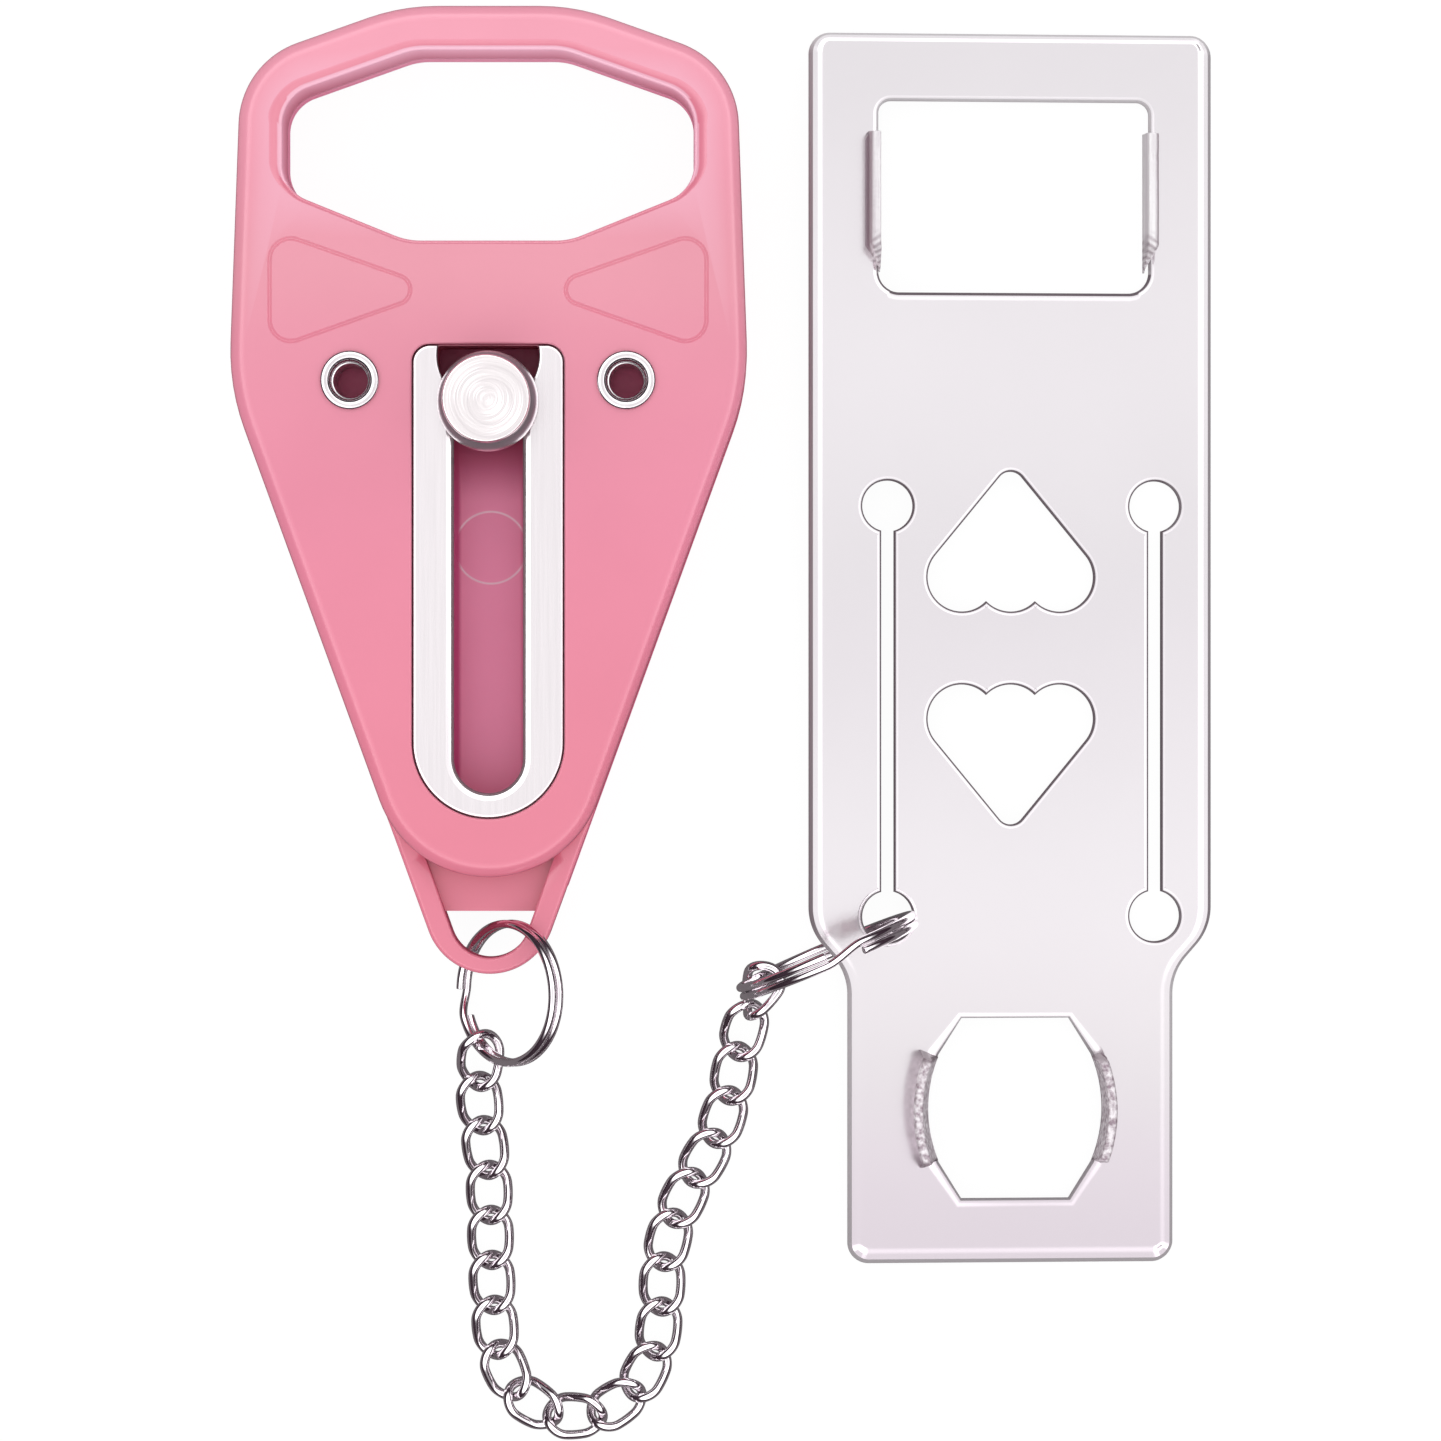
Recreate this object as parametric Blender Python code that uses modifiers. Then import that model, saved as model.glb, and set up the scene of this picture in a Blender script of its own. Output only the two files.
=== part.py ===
"""Portable door lock: a handled lock body with a sliding thumb knob, a curb chain and a claw plate.

The object lies on a table, face up, with +Z up and the table at height zero. Lengths are in metres.
The lock body is modelled from the middle of its top edge, with -Y running down to the chain loop.
Every later piece takes its place from the one that carries it: split ring, chain, split ring, plate.
"""

import math

import bmesh
import bpy
from mathutils import Matrix, Vector

# Clearances and fineness
FIT_GAP = 0.00015
FACE_GAP = 0.0001
OVERRUN = 0.001
MERGE = 0.000001
ARC_STEP_DEGREES = 15
TURN_STEPS = 24
SCREW_STEPS = 10

# Lock body: outline
BODY_LENGTH = 0.1188
BODY_THICKNESS = 0.012
BODY_HALF_WIDTH = 0.03185
BODY_EDGE_ROUND = 0.0014
CROWN_HALF_WIDTH = 0.01065
CROWN_ROUND = 0.0256
SHOULDER_INSET = 0.00145
SHOULDER_HALF_WIDTH = BODY_HALF_WIDTH - SHOULDER_INSET
SHOULDER_DROP = 0.007
SHOULDER_ROUND = 0.0108
WIDEST_DROP = 0.0467
WIDEST_ROUND = 0.028
FOOT_ROUND = 0.0080087

# Lock body: handle opening
HANDLE_TOP_DROP = 0.0056
HANDLE_BAR = 0.0052
HANDLE_HALF_WIDTH = SHOULDER_HALF_WIDTH - HANDLE_BAR
HANDLE_TOP_HALF_FLAT = 0.0092
HANDLE_UPPER_CORNER_DROP = 0.0113
HANDLE_LOWER_CORNER_DROP = 0.0227
HANDLE_FLOOR_DROP = 0.0289
HANDLE_FLOOR_HALF_FLAT = 0.0099
HANDLE_CORNER_ROUND = 0.0048
HANDLE_BEND_ROUND = 0.0085
HANDLE_STEP = 0.0004

# Lock body: shells
BACK_THICKNESS = 0.004
PAD_MARGIN = 0.00515
PAD_SIDE = BODY_HALF_WIDTH - PAD_MARGIN
PAD_GAP = 0.0049
PAD_TOP_DROP = HANDLE_LOWER_CORNER_DROP + PAD_GAP
PAD_HEIGHT = 0.0147
PAD_FOOT_DROP = PAD_TOP_DROP + PAD_HEIGHT
PAD_APEX = 0.0059
PAD_CORNER_ROUND = 0.0026
PAD_APEX_ROUND = 0.0018
PAD_GROOVE_RADIUS = 0.0004

# Slide track, a stainless steel U let into the front shell
TRACK_WIDTH = 0.0184
TRACK_THICKNESS = 0.0013
TRACK_RECESS = 0.0003
TRACK_TOP_DROP = 0.0417
TRACK_FOOT_MARGIN = 0.0193
TRACK_LENGTH = BODY_LENGTH - TRACK_FOOT_MARGIN - TRACK_TOP_DROP
TRACK_CORNER_ROUND = 0.0021
TRACK_EDGE_ROUND = 0.0003
SLOT_WIDTH = 0.00845
SLOT_WEB = 0.003
PORT_RADIUS = 0.00625
PORT_DROP = 0.0012

# Channel behind the track, with the mark that the ejector pin leaves
CHANNEL_HALF_WIDTH = 0.0063
CHANNEL_SETBACK = 0.0003
EJECTOR_MARK_RADIUS = 0.0044
EJECTOR_MARK_DEPTH = 0.0002
EJECTOR_MARK_OFFSET = 0.0248
EJECTOR_MARK_DROP = TRACK_TOP_DROP + EJECTOR_MARK_OFFSET

# Slider: retaining flange, neck and stud
KNOB_REST_OFFSET = 0.0069
KNOB_REST_DROP = TRACK_TOP_DROP + KNOB_REST_OFFSET
SLIDER_FLANGE_RADIUS = 0.0058
SLIDER_FLANGE_THICKNESS = 0.002
SLIDER_NECK_RADIUS = 0.004
SLIDER_STUD_RADIUS = 0.002
GLIDE_RADIUS = 0.0056
WASHER_RADIUS = 0.0056
WASHER_THICKNESS = 0.0004
BORE_GAP = 0.0002

# Thumb knob
KNOB_HEIGHT = 0.0058
KNOB_FLANGE_RADIUS = 0.00615
KNOB_FLANGE_HEIGHT = 0.0015
KNOB_GROOVE_DEPTH = 0.0009
KNOB_GROOVE_HEIGHT = 0.0009
KNOB_TOP_RADIUS = 0.00535
KNOB_TOP_ROUND = 0.0004
KNOB_DISH_RADIUS = 0.0024
KNOB_DISH_DEPTH = 0.00025
KNOB_BORE_DEPTH = 0.004

# Eyelets, rolled over at the front
EYELET_SIDE = 0.0169
EYELET_OFFSET = 0.0043
EYELET_DROP = TRACK_TOP_DROP + EYELET_OFFSET
EYELET_FLANGE_RADIUS = 0.00363
EYELET_ROLL = 0.0005
EYELET_BORE_RADIUS = 0.00233
EYELET_WALL = 0.0004

# Screws from the back
SCREW_HEAD_RADIUS = 0.0016
SCREW_HEAD_HEIGHT = 0.0011
SCREW_SHANK_RADIUS = 0.0009
SCREW_SINK = 0.0002
SCREW_DRIVE_DEPTH = 0.0005
SCREW_DRIVE_RADIUS = 0.0007
SCREW_TIP = 0.0008
CASE_SCREW_REACH = 0.0095
TRACK_SCREW_BITE = 0.0008
TRACK_SCREW_SIDE = 0.00765
TRACK_SCREW_TOP_OFFSET = 0.0058
TRACK_SCREW_FOOT_OFFSET = 0.0157
GRIP_SCREW_OFFSET = 0.0029
GRIP_SCREW_SIDE = HANDLE_HALF_WIDTH + GRIP_SCREW_OFFSET
GRIP_SCREW_DROP = 0.0175
SIDE_SCREW_MARGIN = 0.00735
SIDE_SCREW_SIDE = BODY_HALF_WIDTH - SIDE_SCREW_MARGIN
SIDE_SCREW_OFFSET = 0.0048
SIDE_SCREW_DROP = WIDEST_DROP + SIDE_SCREW_OFFSET
WAIST_SCREW_MARGIN = 0.01585
WAIST_SCREW_SIDE = BODY_HALF_WIDTH - WAIST_SCREW_MARGIN
WAIST_SCREW_OFFSET = 0.0208
WAIST_SCREW_DROP = WIDEST_DROP + WAIST_SCREW_OFFSET
TAIL_SCREW_OFFSET = 0.0155
TAIL_SCREW_DROP = BODY_LENGTH - TAIL_SCREW_OFFSET

# Chain loop at the foot of the body
PLATEAU_STEP = 0.012
PLATEAU_FOOT_DROP = BODY_LENGTH - PLATEAU_STEP
PLATEAU_RADIUS = 0.0135
LOOP_TOP_HEIGHT = 0.008
LOOP_FLOOR_HEIGHT = 0.006
LOOP_UNDERSIDE = 0.0036
LOOP_REACH = 0.0103
LOOP_BACK_DROP = BODY_LENGTH - LOOP_REACH
LOOP_RIM = 0.0024
LOOP_BAND = 0.00195
LOOP_HOLE_RADIUS = 0.00515
LOOP_HOLE_REACH = 0.0077
LOOP_HOLE_TOP_DROP = BODY_LENGTH - LOOP_HOLE_REACH
LOOP_HOLE_CORNER_ROUND = 0.0004

# Split rings, each two turns of round wire
RING_WIRE = 0.001
RING_TURN_GAP = 0.00012
RING_POINTS_PER_TURN = 26
SMALL_RING_DIAMETER = 0.0181
SMALL_RING_SIDE = 0.0024
SMALL_RING_DROP = 0.0024
SMALL_RING_LEAN_DEGREES = 46
SMALL_RING_END_DEGREES = 190
LARGE_RING_DIAMETER = 0.0238
LARGE_RING_HEADING_DEGREES = 23
LARGE_RING_END_DEGREES = 80

# Curb chain
LINK_LENGTH = 0.008
LINK_WIDTH = 0.0057
LINK_WIRE = 0.001
LINK_CLEARANCE = 0.0004
LINK_TWIST_DEGREES = 42
LINK_END_POINTS = 7
HOOK_SLACK = 0.001
CHAIN_HOOK_DEGREES = -127
CHAIN_HEADING_DEGREES = -98
CHAIN_BENDS_DEGREES = (14, 2, -6, -1, 2, 2, 18, 34, 33, 33, 30, 20, 5, -12, -12, -4, 12, 8, -6, -10)
CHAIN_FIRST_PITCH_DEGREES = -16
CHAIN_LIFT_PITCH_DEGREES = 9
CHAIN_END_ROLL_DEGREES = -35
CHAIN_END_HEIGHT = 0.0044

# Claw plate
PLATE_LENGTH = 0.1529
PLATE_THICKNESS = 0.0012
PLATE_EDGE_ROUND = 0.0003
PLATE_HALF_WIDTH = 0.02513
PLATE_TONGUE_HALF_WIDTH = 0.0203
PLATE_CORNER_ROUND = 0.0025
PLATE_TONGUE_ROUND = 0.0017
PLATE_SHOULDER_DROP = 0.1113
PLATE_SHOULDER_RUN = 0.0055
PLATE_SHOULDER_ROUND = 0.007
PLATE_TILT_DEGREES = 3.8
PLATE_RING_OFFSET = 0.0016

# Claw plate: square opening and its two claws
SQUARE_HALF_WIDTH = 0.0169
SQUARE_TOP_DROP = 0.0083
SQUARE_HEIGHT = 0.024
SQUARE_ROUND = 0.0012
CLAW_THICKNESS = 0.0013
CLAW_OVERHANG = 0.0006
CLAW_HEIGHT = 0.005
CLAW_TOP_DROP = 0.0129
CLAW_LENGTH = 0.0141
CLAW_SLOPE = 0.0028
CLAW_ROOT_INSET = 0.0003

# Claw plate: slots with a round hole at each end
KEYHOLE_RADIUS = 0.00316
KEYHOLE_SLOT_WIDTH = 0.0018
KEYHOLE_SIDE = 0.01655
KEYHOLE_UPPER_DROP = 0.0589
KEYHOLE_SPACING = 0.0509

# Claw plate: two cut-outs with three lobes and a rounded tip
HEART_LOBE_RADIUS = 0.00427
HEART_LOBE_SPACING = 0.0061
HEART_LENGTH = 0.0113
HEART_TIP_ROUND = 0.0018
HEART_UPPER_TIP_DROP = 0.0546
HEART_LOWER_TIP_DROP = 0.0984

# Claw plate: eight-sided opening whose bulging sides carry two curved claws
OCTAGON_DROP = 0.1336
OCTAGON_HALF_HEIGHT = 0.0112
OCTAGON_HALF_FLAT = 0.0067
OCTAGON_SIDE_HALF_HEIGHT = 0.0067
OCTAGON_SIDE = 0.0095
OCTAGON_BULGE_RADIUS = 0.017
OCTAGON_CLAW_HEIGHT = 0.0065
OCTAGON_CLAW_HALF_SPAN = 0.0059
OCTAGON_CLAW_SLOPE = 0.001

# Colours, in linear light
PINK = (0.87, 0.33, 0.42, 1)
STAINLESS = (0.83, 0.82, 0.81, 1)
BRIGHT_STEEL = (0.80, 0.79, 0.79, 1)
PLATE_STEEL = (0.80, 0.77, 0.79, 1)
ZINC_STEEL = (0.55, 0.55, 0.56, 1)
GLIDE_WHITE = (0.80, 0.80, 0.77, 1)

PARTS = "portable_door_lock"
CUTTERS = "cutters"


def clear_scene():
    """Remove every object and start the two collections."""
    for obj in list(bpy.data.objects):
        bpy.data.objects.remove(obj, do_unlink=True)
    for name in (PARTS, CUTTERS):
        collection = bpy.data.collections.new(name)
        bpy.context.scene.collection.children.link(collection)
    bpy.data.collections[CUTTERS].hide_render = True


def metal_or_plastic(name, colour, roughness, metallic):
    """A plain Principled material."""
    material = bpy.data.materials.new(name)
    material.use_nodes = True
    shader = material.node_tree.nodes["Principled BSDF"]
    shader.inputs["Base Color"].default_value = colour
    shader.inputs["Roughness"].default_value = roughness
    shader.inputs["Metallic"].default_value = metallic
    return material


def add_part(name, data, material, parent):
    """Link an object into the parts collection with its own material slot."""
    obj = bpy.data.objects.new(name, data)
    bpy.data.collections[PARTS].objects.link(obj)
    if not data.materials:
        data.materials.append(material)
    obj.parent = parent
    return obj


def add_cutter(name, data, parent):
    """Link an object into the hidden collection of cutters."""
    obj = bpy.data.objects.new(name, data)
    bpy.data.collections[CUTTERS].objects.link(obj)
    obj.display_type = "WIRE"
    obj.hide_render = True
    obj.parent = parent
    return obj


def add_empty(name, parent=None):
    """An empty that carries the pieces of one body."""
    empty = bpy.data.objects.new(name, None)
    bpy.data.collections[PARTS].objects.link(empty)
    empty.parent = parent
    return empty


def cut(obj, cutter, operation="DIFFERENCE"):
    """Add one exact Boolean to an object."""
    boolean = obj.modifiers.new(f"{operation.title()} {cutter.name}", "BOOLEAN")
    boolean.operation = operation
    boolean.solver = "EXACT"
    boolean.object = cutter


def arc_points(centre, radius, start, end):
    """Points along an arc, both ends included, with a fixed angle between neighbours."""
    steps = max(1, math.ceil(abs(end - start) / math.radians(ARC_STEP_DEGREES)))
    angles = [start + (end - start) * i / steps for i in range(steps + 1)]
    return [(centre[0] + radius * math.cos(a), centre[1] + radius * math.sin(a)) for a in angles]


def rounded(corners):
    """Round a closed outline of (x, y, radius) corners, each with an arc that touches both its sides."""
    points = []
    count = len(corners)
    for i, (x, y, radius) in enumerate(corners):
        corner = Vector((x, y))
        before = (Vector(corners[i - 1][:2]) - corner).normalized()
        after = (Vector(corners[(i + 1) % count][:2]) - corner).normalized()
        if radius == 0:
            points.append((x, y))
            continue
        half = math.acos(max(-1, min(1, before.dot(after)))) / 2
        centre = corner + (before + after).normalized() * (radius / math.sin(half))
        reach = radius / math.tan(half)
        first = corner + before * reach - centre
        last = corner + after * reach - centre
        start = math.atan2(first.y, first.x)
        sweep = math.atan2(first.x * last.y - first.y * last.x, first.dot(last))
        points += arc_points(centre, radius, start, start + sweep)
    return without_repeats(points)


def without_repeats(points):
    """Drop a point that lies on the one before it, the first and last of a closed outline included."""
    return [p for i, p in enumerate(points) if math.dist(p, points[i - 1]) > MERGE]


def both_sides(right_half):
    """Close an outline given as its right half from top to bottom, which the left half mirrors."""
    left_half = [(-x, y, radius) for x, y, radius in reversed(right_half) if x > 0]
    return right_half + left_half


def curve_mesh(curve):
    """A curve as a closed mesh, with its loose caps merged to its sides."""
    holder = bpy.data.objects.new(curve.name, curve)
    bpy.context.scene.collection.objects.link(holder)
    graph = bpy.context.evaluated_depsgraph_get()
    mesh = bpy.data.meshes.new_from_object(holder.evaluated_get(graph))
    bpy.data.objects.remove(holder)
    bpy.data.curves.remove(curve)
    shape = bmesh.new()
    shape.from_mesh(mesh)
    bmesh.ops.remove_doubles(shape, verts=shape.verts, dist=MERGE)
    bmesh.ops.recalc_face_normals(shape, faces=shape.faces)
    shape.to_mesh(mesh)
    shape.free()
    return mesh


def flat_mesh(name, outlines, low, high, edge_round=0, edge_steps=1):
    """A slab between two heights, with holes for the inner outlines and rounded edges."""
    curve = bpy.data.curves.new(name, "CURVE")
    curve.dimensions = "2D"
    curve.fill_mode = "BOTH"
    for outline in outlines:
        spline = curve.splines.new("POLY")
        spline.points.add(len(outline) - 1)
        for point, (x, y) in zip(spline.points, outline):
            point.co = (x, y, 0, 1)
        spline.use_cyclic_u = True
    curve.extrude = (high - low) / 2 - edge_round
    curve.bevel_depth = edge_round
    curve.bevel_resolution = edge_steps
    curve.offset = -edge_round
    mesh = curve_mesh(curve)
    mesh.transform(Matrix.Translation((0, 0, (low + high) / 2)))
    return mesh


def box_mesh(name, low, high):
    """A box between two corners."""
    shape = bmesh.new()
    bmesh.ops.create_cube(shape, size=1)
    size = [b - a for a, b in zip(low, high)]
    middle = [(a + b) / 2 for a, b in zip(low, high)]
    bmesh.ops.scale(shape, vec=size, verts=shape.verts)
    bmesh.ops.translate(shape, vec=middle, verts=shape.verts)
    mesh = bpy.data.meshes.new(name)
    shape.to_mesh(mesh)
    shape.free()
    return mesh


def turn(obj, steps):
    """Turn a profile round the local Z axis."""
    screw = obj.modifiers.new("Turn", "SCREW")
    screw.axis = "Z"
    screw.steps = steps
    screw.render_steps = steps
    screw.use_merge_vertices = True
    screw.merge_threshold = MERGE
    screw.use_smooth_shade = True


def profile_mesh(name, profile, closed=False):
    """The edges of a turned profile of (radius, height) points."""
    edges = [(i, i + 1) for i in range(len(profile) - 1)]
    if closed:
        edges.append((len(profile) - 1, 0))
    mesh = bpy.data.meshes.new(name)
    mesh.from_pydata([(radius, 0, height) for radius, height in profile], edges, [])
    return mesh


def turned_mesh(name, profile, steps):
    """A turned solid as a finished mesh, for cutters that are repeated."""
    holder = bpy.data.objects.new(name, profile_mesh(name, profile))
    bpy.context.scene.collection.objects.link(holder)
    turn(holder, steps)
    graph = bpy.context.evaluated_depsgraph_get()
    mesh = bpy.data.meshes.new_from_object(holder.evaluated_get(graph))
    bpy.data.objects.remove(holder)
    return mesh


def copies_mesh(name, source, places):
    """One mesh that holds a copy of the source at each place."""
    shape = bmesh.new()
    for place in places:
        copy = source.copy()
        copy.transform(Matrix.Translation(place))
        shape.from_mesh(copy)
        bpy.data.meshes.remove(copy)
    mesh = bpy.data.meshes.new(name)
    shape.to_mesh(mesh)
    shape.free()
    return mesh


def mirrored_places(side, drop, height=0):
    """A place on each side of the body's centre line."""
    return [(-side, -drop, height), (side, -drop, height)]


# Lock body
def taper():
    """How far each side leans: the line from the widest corner that touches the round foot."""
    drop = BODY_LENGTH - FOOT_ROUND - WIDEST_DROP
    return math.atan2(BODY_HALF_WIDTH, drop) - math.asin(FOOT_ROUND / math.hypot(BODY_HALF_WIDTH, drop))


def taper_apex_drop():
    """Where the two tapering sides would meet, below the rounded foot."""
    return WIDEST_DROP + BODY_HALF_WIDTH / math.tan(taper())


def body_outline():
    """Crown, sloping shoulders, widest corners, straight taper and round foot."""
    right_half = [
        (CROWN_HALF_WIDTH, 0, CROWN_ROUND),
        (SHOULDER_HALF_WIDTH, -SHOULDER_DROP, SHOULDER_ROUND),
        (BODY_HALF_WIDTH, -WIDEST_DROP, WIDEST_ROUND),
        (0, -taper_apex_drop(), FOOT_ROUND),
    ]
    return rounded(both_sides(right_half))


def handle_outline(inset=0):
    """The finger opening, eight-sided with rounded corners."""
    right_half = [
        (HANDLE_TOP_HALF_FLAT, -HANDLE_TOP_DROP - inset, HANDLE_BEND_ROUND),
        (HANDLE_HALF_WIDTH - inset, -HANDLE_UPPER_CORNER_DROP - inset, HANDLE_CORNER_ROUND),
        (HANDLE_HALF_WIDTH - inset, -HANDLE_LOWER_CORNER_DROP + inset, HANDLE_CORNER_ROUND),
        (HANDLE_FLOOR_HALF_FLAT, -HANDLE_FLOOR_DROP + inset, HANDLE_BEND_ROUND),
    ]
    return rounded(both_sides(right_half))


def track_outer(grow=0):
    """Outer outline of the track: square shoulders above, a half round below."""
    half = TRACK_WIDTH / 2 + grow
    top = -TRACK_TOP_DROP + grow
    foot = -TRACK_TOP_DROP - TRACK_LENGTH - grow
    right_half = [
        (half, top, TRACK_CORNER_ROUND + grow),
        (half, foot, half),
    ]
    return rounded(both_sides(right_half))


def slot_foot_centre():
    """Height on the body of the centre of the slot's lower half round."""
    return -TRACK_TOP_DROP - TRACK_LENGTH + SLOT_WEB + SLOT_WIDTH / 2


def track_outline():
    """The U in one outline: legs, web, slot and the wide port at the slot's upper end."""
    half = TRACK_WIDTH / 2
    top = -TRACK_TOP_DROP
    foot = top - TRACK_LENGTH
    slot = SLOT_WIDTH / 2
    port_centre = (0, top - PORT_DROP)
    port_rim = math.asin(PORT_DROP / PORT_RADIUS)
    port_neck = -math.acos(slot / PORT_RADIUS)
    corner_centre = (half - TRACK_CORNER_ROUND, top - TRACK_CORNER_ROUND)
    right_side = arc_points((0, foot + half), half, -math.pi / 2, 0)
    right_side += arc_points(corner_centre, TRACK_CORNER_ROUND, 0, math.pi / 2)
    right_side += arc_points(port_centre, PORT_RADIUS, port_rim, port_neck)
    right_side += arc_points((0, slot_foot_centre()), slot, 0, -math.pi / 2)
    left_side = [(-x, y) for x, y in reversed(right_side)]
    return without_repeats(right_side + left_side)


def channel_outline():
    """The channel that the slider's flange runs in, open height between the shells."""
    top = -TRACK_TOP_DROP - CHANNEL_SETBACK
    right_half = [
        (CHANNEL_HALF_WIDTH, top, TRACK_CORNER_ROUND),
        (CHANNEL_HALF_WIDTH, slot_foot_centre() - CHANNEL_HALF_WIDTH, CHANNEL_HALF_WIDTH),
    ]
    return rounded(both_sides(right_half))


def pad_groove(name, side, parent):
    """A half-round groove along a triangle with rounded corners, on one side of the handle's root."""
    corners = [
        (side * PAD_SIDE, -PAD_TOP_DROP, PAD_CORNER_ROUND),
        (side * PAD_APEX, -(PAD_TOP_DROP + PAD_FOOT_DROP) / 2, PAD_APEX_ROUND),
        (side * PAD_SIDE, -PAD_FOOT_DROP, PAD_CORNER_ROUND),
    ]
    points = rounded(corners)
    curve = bpy.data.curves.new(name, "CURVE")
    curve.dimensions = "3D"
    spline = curve.splines.new("POLY")
    spline.points.add(len(points) - 1)
    for point, (x, y) in zip(spline.points, points):
        point.co = (x, y, BODY_THICKNESS + PAD_GROOVE_RADIUS / 4, 1)
    spline.use_cyclic_u = True
    curve.bevel_depth = PAD_GROOVE_RADIUS
    curve.bevel_resolution = 0
    return add_cutter(name, curve_mesh(curve), parent)


def loop_outline(inset):
    """The body's outline at the foot, drawn in by a rim."""
    apex = -taper_apex_drop() + inset / math.sin(taper())
    top = -PLATEAU_FOOT_DROP + PLATEAU_RADIUS
    half = (top - apex) * math.tan(taper())
    return rounded([(half, top, 0), (0, apex, FOOT_ROUND - inset), (-half, top, 0)])


def loop_hole_outline():
    """A half-round hole, level above and round below."""
    half = LOOP_HOLE_RADIUS
    top = -LOOP_HOLE_TOP_DROP
    foot = -BODY_LENGTH + LOOP_BAND
    right_half = [
        (half, top, LOOP_HOLE_CORNER_ROUND),
        (half, foot, half),
    ]
    return rounded(both_sides(right_half))


def case_screw_places():
    """Screws that hold the two shells together."""
    places = mirrored_places(GRIP_SCREW_SIDE, GRIP_SCREW_DROP)
    places += mirrored_places(SIDE_SCREW_SIDE, SIDE_SCREW_DROP)
    places += mirrored_places(WAIST_SCREW_SIDE, WAIST_SCREW_DROP)
    return places + [(0, -TAIL_SCREW_DROP, 0)]


def track_screw_places():
    """Screws that pull the track into its seat from behind."""
    upper = TRACK_TOP_DROP + TRACK_SCREW_TOP_OFFSET
    lower = TRACK_TOP_DROP + TRACK_LENGTH - TRACK_SCREW_FOOT_OFFSET
    return mirrored_places(TRACK_SCREW_SIDE, upper) + mirrored_places(TRACK_SCREW_SIDE, lower)


def screw_hole_profile(reach):
    """Countersink and bore for one screw, from below the back face to past its tip."""
    head = SCREW_HEAD_RADIUS + FIT_GAP
    shank = SCREW_SHANK_RADIUS + FIT_GAP
    return [
        (0, reach + FIT_GAP),
        (shank, reach + FIT_GAP),
        (shank, SCREW_SINK + SCREW_HEAD_HEIGHT + FIT_GAP),
        (head, SCREW_SINK + FIT_GAP),
        (head, -OVERRUN),
        (0, -OVERRUN),
    ]


def screw_profile(reach):
    """A countersunk screw, head down, with a round drive recess."""
    return [
        (0, reach),
        (SCREW_SHANK_RADIUS / 2, reach),
        (SCREW_SHANK_RADIUS, reach - SCREW_TIP),
        (SCREW_SHANK_RADIUS, SCREW_SINK + SCREW_HEAD_HEIGHT),
        (SCREW_HEAD_RADIUS, SCREW_SINK),
        (SCREW_DRIVE_RADIUS, SCREW_SINK),
        (0, SCREW_SINK + SCREW_DRIVE_DEPTH),
    ]


def track_seat_height():
    """Height of the ledge that the track lies on."""
    return BODY_THICKNESS - TRACK_RECESS - TRACK_THICKNESS - FACE_GAP


def track_screw_reach():
    """How high the track screws' tips reach, short of the track's face."""
    return track_seat_height() + FACE_GAP + TRACK_SCREW_BITE


def front_underside():
    """Height of the front shell's inner face, a seat's gap above the back shell."""
    return BACK_THICKNESS + FACE_GAP


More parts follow.
